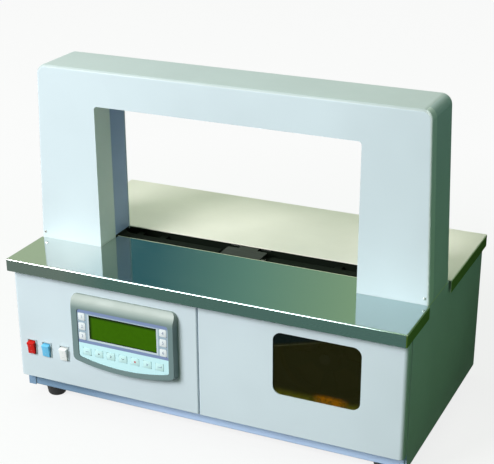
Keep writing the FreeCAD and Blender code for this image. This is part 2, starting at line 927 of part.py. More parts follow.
def panel_box(grow, y_low, y_high):
    """The part of the panel that passes through the cover."""
    return block(panel_left_x + panel_box_margin - grow, panel_right_x - panel_box_margin + grow, y_low,
                 y_high,
                 panel_side_bottom_z + panel_box_margin - grow, recess_top_z - panel_box_margin + grow)


def recess_prism(shrink, y_low, y_high):
    """The sunk face of the panel, shrunk by a clearance."""
    wire = sagging_outline(recess_left_x + shrink, recess_right_x - shrink, recess_top_z - shrink,
                           recess_side_bottom_z + shrink, recess_sag, y_low)
    body = Part.Face(wire).extrude(vec(0, y_high - y_low, 0))
    return round_along(body, vec(0, 1, 0), recess_round)


def panel_housing():
    """Moulded housing: drafted sides, a crowned hood at the top and a sunk face."""
    base = sagging_outline(panel_left_x, panel_right_x, panel_top_z, panel_side_bottom_z, panel_sag,
                           case_front_y)
    rim = sagging_outline(panel_left_x + panel_draft, panel_right_x - panel_draft, panel_top_z,
                          panel_side_bottom_z + panel_draft, panel_sag, panel_rim_y)
    body = Part.makeLoft([base, rim], True, True)
    corners = [edge for edge in body.Edges
               if edge.BoundBox.YLength > panel_stand / 2 and edge.BoundBox.XLength < panel_stand]
    body = body.makeFillet(panel_corner_round, corners)
    start = vec(0, case_front_y - panel_hood_edge, panel_top_z + panel_hood_over)
    end = vec(0, panel_rim_y - panel_hood_lip, recess_top_z)
    crown = (start + end) / 2 + vec(0, -panel_hood_crown, panel_hood_crown)
    far = vec(0, panel_rim_y - overrun, recess_top_z)
    over = vec(0, panel_rim_y - overrun, panel_top_z + overrun)
    near = vec(0, case_front_y - panel_hood_edge, panel_top_z + overrun)
    wedge_wire = Part.Wire([Part.Arc(start, crown, end).toShape(), Part.LineSegment(end, far).toShape(),
                            Part.LineSegment(far, over).toShape(), Part.LineSegment(over, near).toShape(),
                            Part.LineSegment(near, start).toShape()])
    wedge = Part.Face(wedge_wire).extrude(vec(panel_right_x - panel_left_x + overrun * 2, 0, 0))
    wedge.translate(vec(panel_left_x - overrun, 0, 0))
    body = body.cut(wedge)
    body = body.cut(recess_prism(0, panel_rim_y - overrun, recess_floor_y))
    box_back_y = case_front_y + panel_box_depth
    body = join([body, panel_box(0, case_front_y - panel_hood_edge, box_back_y)])
    return body.cut(panel_box(-panel_pocket_wall, recess_floor_y + panel_pocket_wall,
                              box_back_y - panel_pocket_wall))


def display_glass(grow, y_low, y_high):
    return block(display_left_x - grow, display_right_x + grow, y_low, y_high,
                 display_bottom_z - grow, display_top_z + grow)


def key_places():
    """Name to place and size of each key: three function keys a side, seven in the row below."""
    places = {}
    for column, x in enumerate((function_key_left_x, function_key_right_x)):
        for row in range(function_key_rows):
            name = "function_key_%d" % (column * function_key_rows + row + 1)
            z = function_key_top_z - row * function_key_pitch
            places[name] = (x, z, function_key_width, function_key_height)
    row_names = ("escape_key", "left_key", "right_key", "up_key", "down_key", "set_key", "enter_key")
    for number, name in enumerate(row_names):
        x = pad_key_first_x + number * pad_key_pitch
        places[name] = (x, pad_key_z, pad_key_width, pad_key_height)
    return places


def keypad_film():
    """Printed film that lies in the sunk face, open at the display and at every key."""
    film = recess_prism(slip_gap, film_front_y, recess_floor_y)
    front = film_front_y - overrun
    back = recess_floor_y + overrun
    cuts = [display_glass(slip_gap, front, back)]
    for x, z, width, height in key_places().values():
        cuts.append(block(x - width / 2 - slip_gap, x + width / 2 + slip_gap, front, back,
                          z - height / 2 - slip_gap, z + height / 2 + slip_gap))
    return film.cut(Part.makeCompound(cuts))


def display_window():
    """Clear window over the liquid crystal display."""
    return display_glass(0, recess_floor_y - display_lens, recess_floor_y)


def panel_key(key):
    """Low domed key that stands a little out of the film."""
    x, z, width, height = key
    back = recess_floor_y - key_travel - bond_gap
    blank = block(x - width / 2, x + width / 2, back - key_thickness, back, z - height / 2,
                  z + height / 2)
    return blank.makeChamfer(key_corner, edges_along(blank, vec(0, 1, 0), lambda middle: True))


# Rocker switches

def switch_body(x):
    """Snap-in switch body with a flange round its mouth and square seats for the rocker's trunnions."""
    front = case_front_y - switch_flange
    flange = block(x - switch_flange_width / 2, x + switch_flange_width / 2, front, case_front_y,
                   switch_z - switch_flange_height / 2, switch_z + switch_flange_height / 2)
    body = block(x - switch_body_width / 2, x + switch_body_width / 2, front,
                 case_front_y + switch_body_depth,
                 switch_z - switch_body_height / 2, switch_z + switch_body_height / 2)
    mouth = block(x - switch_mouth_width / 2, x + switch_mouth_width / 2, front - overrun,
                  case_front_y + switch_mouth_depth,
                  switch_z - switch_mouth_height / 2, switch_z + switch_mouth_height / 2)
    seat = rocker_trunnion_radius + running_gap
    pivot_y = case_front_y + rocker_pivot_depth
    seats = block(x - switch_body_width, x + switch_body_width, pivot_y - seat, pivot_y + seat,
                  switch_z - seat,
                  switch_z + seat)
    return join([flange, body]).cut(mouth).cut(seats)


def rocker(x):
    """Dished rocker, resting with its lower end in, on two trunnions."""
    pivot_depth_y = case_front_y + rocker_pivot_depth
    face = pivot_depth_y - rocker_pivot_depth - rocker_stand
    half = rocker_height / 2
    tail = pivot_depth_y + rocker_tail
    outline = [(tail, switch_z - half / 2), (tail, switch_z + half / 2), (pivot_depth_y, switch_z + half),
               (face, switch_z + half), (face + rocker_dish, switch_z), (face, switch_z - half),
               (pivot_depth_y, switch_z - half)]
    cap = prism_x(outline, x - rocker_width / 2, x + rocker_width / 2)
    reach = rocker_width / 2 + rocker_trunnion
    trunnions = rod_x(pivot_depth_y, switch_z, rocker_trunnion_radius, x - reach, x + reach)
    body = join([cap, trunnions])
    body.rotate(vec(x, pivot_depth_y, switch_z), vec(1, 0, 0), rocker_tilt)
    return body


# Main plate and sealing head

def main_plate():
    """Upright plate across the case: all shafts stand out of it, motors hang behind it."""
    half = case_side_x - plate_end_inset
    upright = block(-half, half, plate_front_y, plate_back_y, base_floor_z, table_under_z)
    foot = block(-half, half, plate_front_y, plate_back_y + plate_foot_depth, base_floor_z,
                 base_floor_z + plate_foot)
    rail_top = anvil_bottom_z - slip_gap
    rail_outer = anvil_tail_half_width + slip_gap + anvil_rail
    rail = block(-rail_outer, rail_outer, plate_back_y - plate_thickness / 2,
                 plate_front_y + anvil_rail_length,
                 rail_top - anvil_rail_height, rail_top)
    stud = rod_y(pinch_pivot_x, pinch_pivot_z, pinch_stud_radius, plate_front_y - pinch_stud_length,
                 plate_front_y + plate_thickness / 2)
    solid = join([upright, foot, rail, stud])
    tail_half = anvil_tail_half_width + slip_gap
    groove = block(-tail_half, tail_half, plate_front_y - overrun,
                   plate_front_y + anvil_rail_length + overrun,
                   anvil_bottom_z - anvil_tail_drop - anvil_groove_play, table_under_z + overrun)
    passage_half = anvil_half_width + slip_gap
    passage = block(-passage_half, passage_half, plate_front_y - overrun, plate_back_y + overrun,
                    rail_top,
                    table_under_z + overrun)
    boss = rod_y(feed_x, feed_z, feed_boss_radius + slip_gap / 2, plate_front_y - overrun,
                 plate_back_y + overrun)
    wires = block(wire_hole_x - wire_hole_width / 2, wire_hole_x + wire_hole_width / 2,
                  plate_front_y - overrun,
                  plate_back_y + overrun, wire_hole_z - wire_hole_height / 2,
                  wire_hole_z + wire_hole_height / 2)
    wires = round_along(wires, vec(0, 1, 0), wire_hole_round)
    return solid.cut(groove).cut(passage).cut(boss).cut(wires)


def head_frame():
    """C-shaped casting: a guide block for the bars and two cheeks with the shaft bearings."""
    front = tyre_front_y - head_margin
    cheek_bottom = cam_z - cam_low_radius
    guide_bottom = head_top_z - head_block_height
    guide = block(-head_half_width, head_half_width, front, plate_front_y, guide_bottom, head_top_z)
    slot = block(-gripper_outer_x - bar_gap, gripper_outer_x + bar_gap, tyre_front_y - bar_gap,
                 tyre_back_y + bar_gap, guide_bottom - overrun, head_top_z + overrun)
    cheeks = []
    for side in (-1, 1):
        ends = sorted((side * head_half_width, side * (head_half_width + head_cheek)))
        cheek = block(ends[0], ends[1], front, plate_front_y, cheek_bottom, head_top_z)
        cheek = round_along(cheek, vec(1, 0, 0), head_cheek_round,
                            lambda middle: middle.z < cam_z and middle.y < band_y)
        cheeks.append(cheek)
    bearing = rod_x(band_y, cam_z, cam_shaft_radius + running_gap,
                    -head_half_width - head_cheek - overrun,
                    head_half_width + head_cheek + overrun)
    return join([guide] + cheeks).cut(slot).cut(bearing)


def seal_bar(x_low, x_high, top_z):
    return block(x_low, x_high, tyre_front_y, tyre_back_y, bar_foot_z, top_z)


def grippers():
    """Two serrated bars that clamp the band against the anvil, lifted together."""
    bar = seal_bar(gripper_inner_x, gripper_outer_x, bar_top_z)
    pitch = (gripper_outer_x - gripper_inner_x) / (gripper_groove_count + 1)
    for number in range(gripper_groove_count):
        x = gripper_inner_x + (number + 1) * pitch
        outline = [(x - gripper_groove, bar_top_z + gripper_groove), (x, bar_top_z - gripper_groove),
                   (x + gripper_groove, bar_top_z + gripper_groove)]
        groove = prism_y(outline, tyre_front_y - overrun, tyre_back_y + overrun)
        bar = bar.cut(groove)
    return Part.makeCompound([bar, mirrored(bar)])


def heater_press():
    """Bar that carries the narrow heated sole."""
    shoulder_z = bar_top_z - press_head_height
    bar = seal_bar(press_left_x, press_right_x, shoulder_z)
    middle = (press_left_x + press_right_x) / 2
    sole = block(middle - press_head_width / 2, middle + press_head_width / 2, tyre_front_y, tyre_back_y,
                 shoulder_z - weld_sink, bar_top_z)
    return join([bar, sole])


def cutter_blade():
    """Thin blade with a slanting edge."""
    outline = [(tyre_front_y, bar_foot_z), (tyre_back_y, bar_foot_z),
               (tyre_back_y, bar_top_z - cutter_bevel),
               (tyre_front_y, bar_top_z)]
    return prism_x(outline, cutter_left_x, cutter_right_x)


def cam_stations():
    """Angles where the arcs of the cam outline meet, from the start of the rise round to it again."""
    marks = [0.0]
    spans = ((cam_rise_angle, cam_rise_arcs), (cam_dwell_angle, 1), (cam_fall_angle, cam_fall_arcs),
             (cam_rest_angle, 1))
    for span, arcs in spans:
        start = marks[-1]
        marks.extend(start + span * (number + 1) / arcs for number in range(arcs))
    return marks


def cam_radius(angle):
    """Even rise over the working turn, a dwell, a smooth fall, and a rest at the low radius."""
    fall_start = cam_rise_angle + cam_dwell_angle
    fall_end = fall_start + cam_fall_angle
    if angle <= cam_rise_angle:
        return cam_low_radius + cam_lift * angle / cam_rise_angle
    if angle <= fall_start:
        return cam_low_radius + cam_lift
    if angle >= fall_end:
        return cam_low_radius
    swing = math.pi * (angle - fall_start) / (fall_end - fall_start)
    return cam_low_radius + cam_lift * (1 + math.cos(swing)) / 2


def lift_cam(x_low, x_high):
    """Plate cam whose outline is a closed run of arcs through points on the lift law."""
    def outline_point(angle):
        turn = math.radians(angle)
        radius = cam_radius(angle)
        return vec(x_low, band_y + radius * math.sin(turn), cam_z + radius * math.cos(turn))
    marks = cam_stations()
    arcs = []
    for start, end in zip(marks, marks[1:]):
        arcs.append(Part.Arc(outline_point(start), outline_point((start + end) / 2),
                             outline_point(end)).toShape())
    return Part.Face(Part.Wire(arcs)).extrude(vec(x_high - x_low, 0, 0))


def cam_shaft():
    """Shaft with three equal cams: one for each gripper, and a wide one for the press and the cutter."""
    end = head_half_width + head_cheek
    shaft = rod_x(band_y, cam_z, cam_shaft_radius, -end - cam_shaft_tail, end + cam_shaft_overhang)
    gripper_middle = (gripper_inner_x + gripper_outer_x) / 2
    middle = (press_left_x + press_right_x) / 2
    spans = ((-gripper_middle - cam_width / 2, -gripper_middle + cam_width / 2), (middle, cutter_right_x),
             (gripper_middle - cam_width / 2, gripper_middle + cam_width / 2))
    cams = [lift_cam(low, high) for low, high in spans]
    return join([shaft] + cams)


def anvil():
    """Thin plate over the head that the band is pressed against. It draws back to free the band."""
    rear = track_rear_y + anvil_rear_margin
    plate = block(-anvil_half_width, anvil_half_width, front_table_rear_y - anvil_lap, rear,
                  anvil_bottom_z,
                  anvil_top_z)
    plate = round_along(plate, vec(0, 0, 1), anvil_rear_margin)
    tail_end = rear + anvil_tail_length
    tail = block(-anvil_tail_half_width, anvil_tail_half_width, rear - anvil_rear_margin, tail_end,
                 anvil_bottom_z,
                 anvil_top_z)
    rib = block(-anvil_tail_half_width, anvil_tail_half_width, rear, tail_end,
                anvil_bottom_z - anvil_tail_drop,
                anvil_top_z)
    return join([plate, tail, rib])


def seal_motor():
    """Geared motor that turns the cam shaft."""
    face = seal_seat_play + seal_shaft_seat - head_half_width - head_cheek - cam_shaft_tail
    gear_back = face - seal_gear_length
    half = seal_gear_height / 2
    front = band_y * 2 - plate_front_y
    gear = block(gear_back, face, front, plate_front_y, cam_z - half, cam_z + half)
    gear = round_along(gear, vec(1, 0, 0), seal_gear_round, lambda middle: middle.y < band_y)
    can = rod_x(band_y, cam_z, seal_can_radius, gear_back - seal_can_length, gear_back)
    seat_end = face - seal_shaft_seat - seal_seat_play - weld_sink
    seat = rod_x(band_y, cam_z, cam_shaft_radius + running_gap, seat_end, face + overrun)
    return join([gear, can]).cut(seat)


# Band feed

def feed_motor():
    """Geared motor behind the main plate, centred in it by a boss."""
    boss = rod_y(feed_x, feed_z, feed_boss_radius, plate_front_y, plate_back_y)
    gear = block(feed_x - feed_gear_half, feed_x + feed_gear_half, plate_back_y,
                 plate_back_y + feed_gear_length,
                 feed_z - feed_gear_half, feed_z + feed_gear_half)
    can = rod_y(feed_x, feed_z, feed_can_radius, plate_back_y + feed_gear_length,
                plate_back_y + feed_gear_length + feed_can_length)
    seat = rod_y(feed_x, feed_z, feed_shaft_radius + running_gap, plate_front_y - overrun,
                 plate_back_y + feed_shaft_seat)
    return join([boss, gear, can]).cut(seat)


def feed_roller():
    """Steel hub and shaft of the driven roller."""
    shaft = rod_y(feed_x, feed_z, feed_shaft_radius, tyre_front_y - feed_shaft_nose,
                  plate_back_y + feed_shaft_seat - feed_seat_play)
    hub = rod_y(feed_x, feed_z, feed_hub_radius, tyre_front_y, tyre_back_y)
    return join([shaft, hub])


def feed_tyre():
    """Soft tyre of the driven roller."""
    tyre = rod_y(feed_x, feed_z, feed_roller_radius, tyre_front_y, tyre_back_y)
    return tyre.cut(rod_y(feed_x, feed_z, feed_hub_radius + bond_gap, tyre_front_y - overrun,
                          tyre_back_y + overrun))


def pinch_arm():
    """Arm that presses the pinch roller down, with the roller's axle."""
    back = plate_front_y - pinch_arm_stand
    front = back - pinch_arm_thickness
    slope = math.atan2(pinch_arm_drop, pinch_arm_reach)
    offset_x = pinch_arm_radius * math.sin(slope)
    offset_z = pinch_arm_radius * math.cos(slope)
    outline = [(pinch_x - offset_x, pinch_z - offset_z),
               (pinch_pivot_x - offset_x, pinch_pivot_z - offset_z),
               (pinch_pivot_x + offset_x, pinch_pivot_z + offset_z),
               (pinch_x + offset_x, pinch_z + offset_z)]
    web = prism_y(outline, front, back)
    nose = rod_y(pinch_x, pinch_z, pinch_arm_radius, front, back)
    boss = rod_y(pinch_pivot_x, pinch_pivot_z, pinch_arm_radius, front, plate_front_y - slip_gap)
    axle = rod_y(pinch_x, pinch_z, pinch_axle_radius, tyre_front_y - feed_shaft_nose, back)
    bore = rod_y(pinch_pivot_x, pinch_pivot_z, pinch_stud_radius + running_gap, front - overrun,
                 plate_front_y)
    return join([web, nose, boss, axle]).cut(bore)


def pinch_roller():
    """Idle roller above the driven one."""
    roller = rod_y(pinch_x, pinch_z, pinch_radius, tyre_front_y, tyre_back_y)
    bore = rod_y(pinch_x, pinch_z, pinch_axle_radius + running_gap, tyre_front_y - overrun,
                 tyre_back_y + overrun)
    return roller.cut(bore)


# Band reel

def reel_spindle():
    """Fixed spindle with a flange screwed to the main plate."""
    spindle = rod_y(reel_x, reel_z, reel_spindle_radius, plate_front_y - reel_spindle_length,
                    plate_front_y)
    flange = rod_y(reel_x, reel_z, reel_spindle_flange_radius, plate_front_y - reel_spindle_flange,
                   plate_front_y)
    return join([spindle, flange])


def reel_windows(y_low, y_high):
    """Openings between the spokes of the reel cap, as straight-sided sectors."""
    half_turn = math.pi / reel_window_count * reel_window_share
    windows = []
    for number in range(reel_window_count):
        turn = 2 * math.pi * number / reel_window_count + math.pi / 2
        outline = []
        for radius, side in ((reel_window_inner, -1), (reel_window_outer, -1), (reel_window_outer, 0),
                             (reel_window_outer, 1), (reel_window_inner, 1)):
            angle = turn + side * half_turn
            outline.append((reel_x + radius * math.cos(angle), reel_z + radius * math.sin(angle)))
        windows.append(prism_y(outline, y_low - overrun, y_high + overrun))
    return Part.makeCompound(windows)


def reel_hub():
    """Core tube with the rear flange, turning on the spindle."""
    flange_front = tyre_back_y + slip_gap
    back = plate_front_y - reel_spindle_flange - reel_hub_back_gap
    core = rod_y(reel_x, reel_z, reel_core_radius, tyre_front_y - slip_gap, back)
    flange = rod_y(reel_x, reel_z, reel_flange_radius, flange_front, flange_front + reel_flange)
    bore = rod_y(reel_x, reel_z, reel_spindle_radius + running_gap, tyre_front_y - overrun,
                 back + overrun)
    return join([core, flange]).cut(bore)


def band_roll():
    """The wound supply of band."""
    roll = rod_y(reel_x, reel_z, roll_radius, tyre_front_y, tyre_back_y)
    core = rod_y(reel_x, reel_z, reel_core_radius + slip_gap, tyre_front_y - overrun,
                 tyre_back_y + overrun)
    return roll.cut(core)


def reel_cap():
    """Front flange with a scalloped knob, taken off to change the roll."""
    back = tyre_front_y - slip_gap
    front = back - reel_flange
    disc = rod_y(reel_x, reel_z, reel_flange_radius, front, back)
    knob = rod_y(reel_x, reel_z, reel_knob_radius, front - reel_knob_length, front)
    scoops = []
    for number in range(reel_knob_scoops):
        turn = 2 * math.pi * number / reel_knob_scoops
        x = reel_x + reel_knob_radius * math.cos(turn)
        z = reel_z + reel_knob_radius * math.sin(turn)
        scoops.append(rod_y(x, z, reel_knob_scoop, front - reel_knob_length - overrun, front))
    bore = rod_y(reel_x, reel_z, reel_spindle_radius + running_gap, front - reel_knob_length - overrun,
                 back + overrun)
    return join([disc, knob.cut(Part.makeCompound(scoops))]).cut(bore).cut(reel_windows(front, back))


# Electrics

def power_inlet():
    """Mains inlet with its three pins."""
    back = case_back_y - case_sheet
    flange = soft_plate_y(inlet_x, inlet_z, inlet_flange_width, inlet_flange_height, back,
                          back + inlet_flange,
                          inlet_corner_round)
    body = block(inlet_x - inlet_body_width / 2, inlet_x + inlet_body_width / 2, back - inlet_body_depth,
                 back + inlet_flange, inlet_z - inlet_body_height / 2, inlet_z + inlet_body_height / 2)
    mouth = block(inlet_x - inlet_mouth_width / 2, inlet_x + inlet_mouth_width / 2,
                  back + inlet_flange - inlet_mouth_depth, back + inlet_flange + overrun,
                  inlet_z - inlet_mouth_height / 2, inlet_z + inlet_mouth_height / 2)
    mouth = round_along(mouth, vec(0, 1, 0), inlet_mouth_round, lambda middle: middle.z > inlet_z)
    shell = join([flange, body]).cut(mouth)
    floor = back + inlet_flange - inlet_mouth_depth
    pins = []
    for column, rise in ((-1, -inlet_pin_stagger), (0, inlet_pin_stagger), (1, -inlet_pin_stagger)):
        x = inlet_x + column * inlet_pin_pitch
        z = inlet_z + rise
        pins.append(block(x - inlet_pin_thickness / 2, x + inlet_pin_thickness / 2, floor - weld_sink,
                          floor + inlet_pin_length, z - inlet_pin_width / 2, z + inlet_pin_width / 2))
    return join([shell] + pins)


def control_board():
    """Circuit board on stand-offs behind the main plate, with its larger components."""
    board_y = plate_back_y + board_stand
    back = board_y + board_thickness
    shapes = [block(board_left_x, board_right_x, board_y, back, board_bottom_z, board_top_z)]
    for x in (board_left_x + board_stand_inset, board_right_x - board_stand_inset):
        for z in (board_bottom_z + board_stand_inset, board_top_z - board_stand_inset):
            shapes.append(block(x - board_stand_half, x + board_stand_half, plate_back_y, back,
                                z - board_stand_half, z + board_stand_half))
    for number in range(capacitor_count):
        x = board_left_x + board_stand_inset + capacitor_radius + number * capacitor_pitch
        z = board_bottom_z + board_stand_inset + capacitor_height
        shapes.append(rod_y(x, z, capacitor_radius, board_y, back + capacitor_length))
    sink_left = board_right_x - heat_sink_width - heat_sink_inset
    sink_bottom = board_bottom_z + board_stand_inset
    shapes.append(block(sink_left, sink_left + heat_sink_width, board_y, back + heat_sink_fin,
                        sink_bottom, sink_bottom + heat_sink_height))
    fin_count = int(heat_sink_width / heat_sink_fin_pitch)
    for number in range(fin_count):
        x = sink_left + number * heat_sink_fin_pitch
        shapes.append(block(x, x + heat_sink_fin, board_y, back + heat_sink_depth, sink_bottom,
                            sink_bottom + heat_sink_height))
    row_left = (board_left_x + board_right_x - terminal_width) / 2
    row_bottom = board_top_z - board_stand_inset - terminal_height
    shapes.append(block(row_left, row_left + terminal_width, board_y, back + terminal_depth, row_bottom,
                        row_bottom + terminal_height))
    return join(shapes)


def build():
    os.makedirs("parts", exist_ok=True)
    save("base_pan", base_pan())
    save("rubber_feet", rubber_feet())
    side = side_panel_right()
    save("side_panel_right", side)
    save("side_panel_left", mirrored(side))
    save("rear_panel", rear_panel())
    save("front_panel", front_panel())
    save("front_door", front_door())
    save("door_window", door_window())
    save("door_pivots", door_pivots())
    save("door_catch", door_catch())
    save("front_table", front_table())
    save("rear_table", rear_table())
    save("arch_cover", arch_cover())
    save("arch_back_plate", arch_back_plate())
    save("arch_guide_track", arch_guide_track())
    save("arch_posts", arch_posts())
    save("slot_track", slot_track())
    flap = leg_flap_right()
    save("guide_flap_right", flap)
    save("guide_flap_left", mirrored(flap))
    save("guide_flap_top", top_flap())
    save("flap_pins", flap_pins())
    save("panel_housing", panel_housing())
    save("keypad_film", keypad_film())
    save("display_window", display_window())
    for name, key in key_places().items():
        save(name, panel_key(key))
    places = switch_places()
    save("switch_bodies", Part.makeCompound([switch_body(x) for x in places]))
    for name, x in zip(("power_rocker", "heater_rocker", "feed_rocker"), places):
        save(name, rocker(x))
    save("main_plate", main_plate())
    save("head_frame", head_frame())
    save("grippers", grippers())
    save("heater_press", heater_press())
    save("cutter_blade", cutter_blade())
    save("cam_shaft", cam_shaft())
    save("anvil", anvil())
    save("seal_motor", seal_motor())
    save("feed_motor", feed_motor())
    save("feed_roller", feed_roller())
    save("feed_tyre", feed_tyre())
    save("pinch_arm", pinch_arm())
    save("pinch_roller", pinch_roller())
    save("reel_spindle", reel_spindle())
    save("reel_hub", reel_hub())
    save("band_roll", band_roll())
    save("reel_cap", reel_cap())
    save("power_inlet", power_inlet())
    save("control_board", control_board())


build()
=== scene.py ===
import json
import logging
import math
from collections.abc import Callable
from dataclasses import dataclass
from enum import Enum
from functools import cached_property

import bmesh
import bpy
from mathutils import Matrix, Vector

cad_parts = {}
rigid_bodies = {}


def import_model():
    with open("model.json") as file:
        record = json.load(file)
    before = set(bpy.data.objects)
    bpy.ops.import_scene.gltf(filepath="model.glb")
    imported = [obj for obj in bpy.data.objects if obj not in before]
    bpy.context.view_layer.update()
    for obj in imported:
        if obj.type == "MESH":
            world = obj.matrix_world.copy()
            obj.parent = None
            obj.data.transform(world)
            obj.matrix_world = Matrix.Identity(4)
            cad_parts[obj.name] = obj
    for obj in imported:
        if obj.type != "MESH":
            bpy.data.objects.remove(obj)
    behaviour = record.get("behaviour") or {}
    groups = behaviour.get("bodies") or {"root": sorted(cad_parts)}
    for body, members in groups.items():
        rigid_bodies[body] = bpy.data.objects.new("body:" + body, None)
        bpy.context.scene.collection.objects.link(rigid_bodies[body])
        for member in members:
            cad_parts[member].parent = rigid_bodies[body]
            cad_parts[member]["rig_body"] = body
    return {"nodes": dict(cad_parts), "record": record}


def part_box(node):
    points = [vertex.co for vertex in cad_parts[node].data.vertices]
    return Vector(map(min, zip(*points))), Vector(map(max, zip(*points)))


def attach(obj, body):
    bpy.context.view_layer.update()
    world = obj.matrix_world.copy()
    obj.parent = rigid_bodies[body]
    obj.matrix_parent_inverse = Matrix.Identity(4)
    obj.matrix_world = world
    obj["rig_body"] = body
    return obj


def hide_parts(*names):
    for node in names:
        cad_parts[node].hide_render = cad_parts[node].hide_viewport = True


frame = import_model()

# Table-top strapping machine. Metres, +Z up, the front faces -Y, the ground is at Z = 0.

log = logging.getLogger("strapping_machine")

Colour = tuple[float, float, float]
Point = tuple[float, float, float]
Span = tuple[float, float]
Shape = bmesh.types.BMesh
Face = bmesh.types.BMFace
Socket = bpy.types.NodeSocket
Value = Socket | Colour | float
Choice = Callable[[Face, Vector], str]

RISE: Span = (0.0, 1.0)
FALL: Span = (1.0, 0.0)
MIDDLE: Span = (0.3, 0.7)
EVEN: Point = (1.0, 1.0, 1.0)
FRONT: Point = (0.0, -1.0, 0.0)
REAR: Point = (0.0, 1.0, 0.0)
WHITE: Colour = (1.0, 1.0, 1.0)
HAIR = 0.00001
MACHINE = "machine"


class Axis(Enum):
    """One of the three axes."""

    X = 0
    Y = 1
    Z = 2


# Finishes


@dataclass(frozen=True)
class Finish:
    """Recipe of one material or of the world, with short calls for the nodes that the finishes share."""

    name: str
    store = "materials"
    shader = "Principled BSDF"

    @cached_property
    def owner(self) -> bpy.types.Material | bpy.types.World:
        """Makes the material or world when it is first asked for.

        Returns:
            The material or world.
        """
        owner = getattr(bpy.data, self.store).new(self.name)
        owner.use_nodes = True
        return owner

    def fill(self) -> None:
        """Sets the nodes."""
        raise NotImplementedError

    def make(self) -> bpy.types.Material | bpy.types.World:
        """Sets the nodes and returns the material or world."""
        self.fill()
        return self.owner

    def feed(self, target: Socket, source: Value) -> None:
        """Links a socket into another, or sets a plain value there.

        Args:
            target: Socket to fill.
            source: Socket, colour or number that it gets.
        """
        if isinstance(source, Socket):
            self.owner.node_tree.links.new(source, target)
        elif target.type == "RGBA":
            target.default_value = (*source, 1.0)
        else:
            target.default_value = source

    def add(self, kind: str, feeds: dict[int | str, Value], **settings: str) -> bpy.types.Node:
        """Adds one node.

        Args:
            kind: Blender's name of the node type, without ShaderNode.
            feeds: What its sockets get, by their numbers or names.
            settings: Properties that are set on it first.

        Returns:
            The new node.
        """
        node = self.owner.node_tree.nodes.new("ShaderNode" + kind)
        for key, value in settings.items():
            setattr(node, key, value)
        for key, value in feeds.items():
            self.feed(node.inputs[key], value)
        return node

    def set(self, **values: Value) -> None:
        """Fills the shader's sockets, with _ for the blanks in their names."""
        for key, value in values.items():
            self.feed(self.owner.node_tree.nodes[self.shader].inputs[key.replace("_", " ")], value)

    def coordinate(self, kind: str = "Object") -> Socket:
        """Returns the texture coordinates of that kind."""
        return self.add("TexCoord", {}).outputs[kind]

    def place(self, scale: Point = EVEN) -> Socket:
        """Returns the object coordinates, scaled along the axes."""
        return self.add("Mapping", {"Scale": scale, "Vector": self.coordinate()}).outputs[0]

    def axis(self, direction: Axis, kind: str = "Object") -> Socket:
        """Returns one of the coordinates, which for an object are in metres."""
        return self.add("SeparateXYZ", {0: self.coordinate(kind)}).outputs[direction.value]

    def cloud(self, scale: float, detail: float = 3.0, stretch: Point = EVEN) -> Socket:
        """Returns soft noise between 0 and 1, of a fineness that may differ along the axes."""
        feeds = {"Scale": scale, "Detail": detail, "Vector": self.place(stretch)}
        return self.add("TexNoise", feeds).outputs[0]

    def span(self, source: Socket, given: Span, wanted: Span = RISE) -> Socket:
        """Returns a value mapped from one range onto another and clamped."""
        return self.add("MapRange", dict(enumerate((source, *given, *wanted)))).outputs[0]

    def step(self, value: Socket, limit: float, wanted: Span = RISE, soft: float = 0.0001) -> Socket:
        """Returns a mask that changes at a limit, over a soft width on each side."""
        return self.span(value, (limit - soft, limit + soft), wanted)

    def window(self, value: Socket, limits: Span, soft: float = 0.0001) -> Socket:
        """Returns a mask that is 1 between two limits."""
        return self.times(self.step(value, limits[0], RISE, soft), self.step(value, limits[1], FALL, soft))

    def work(self, operation: str, first: Socket, second: Socket | float) -> Socket:
        """Returns the outcome of one arithmetic step between two values."""
        return self.add("Math", {0: first, 1: second}, operation=operation).outputs[0]

    def times(self, first: Socket, second: Socket | float) -> Socket:
        """Returns the product of two values."""
        return self.work("MULTIPLY", first, second)

    def tint(self, factor: Socket, first: Value, second: Value) -> Socket:
        """Returns a mix of two colours, which is the first where the factor is 0."""
        return self.add("Mix", {0: factor, 6: first, 7: second}, data_type="RGBA").outputs[2]

    def graded(self, colour: Value, west_colour: Colour | None, west: Span) -> Value:
        """Returns a colour that turns into another towards the left, where there is another."""
        return colour if west_colour is None else self.tint(
            self.span(self.axis(Axis.X), west), west_colour, colour)

    def relief(self, height: Socket, strength: float, depth: float = 0.0001) -> None:
        """Bumps the surface by a height map, whose real depth is in metres."""
        bump = self.add("Bump", {"Strength": strength, "Distance": depth, "Height": height})
        self.set(Normal=bump.outputs["Normal"])


def scaled(colour: Colour, factor: float) -> Colour:
    """Returns a colour made darker or brighter, up to white."""
    return tuple(min(1.0, part * factor) for part in colour)


@dataclass(frozen=True)
class Enamel(Finish):
    """Sprayed enamel on sheet steel: slight cloudiness, orange peel and a thin gloss."""

    colour: Colour
    drift: float = 0.05
    roughness: float = 0.36
    peel: float = 0.10
    shine: float = 0.2
    west_colour: Colour | None = None
    west: Span = (-0.20, -0.06)
    cloudiness: float = 7.0
    haze: float = 60.0
    peel_fineness: float = 900.0

    def fill(self) -> None:
        """Sets the nodes."""
        dull = scaled(self.colour, 1.0 - self.drift)
        bright = scaled(self.colour, 1.0 + self.drift * 0.4)
        shade = self.tint(self.span(self.cloud(self.cloudiness, 2.0), (0.35, 0.65)), dull, bright)
        rough = self.span(self.cloud(self.haze), MIDDLE, (self.roughness - 0.04, self.roughness + 0.05))
        self.set(Base_Color=self.graded(shade, self.west_colour, self.west), Roughness=rough,
                 Coat_Weight=0.05, Coat_Roughness=0.25, Specular_IOR_Level=self.shine)
        self.relief(self.cloud(self.peel_fineness, 2.0), self.peel, 0.0002)


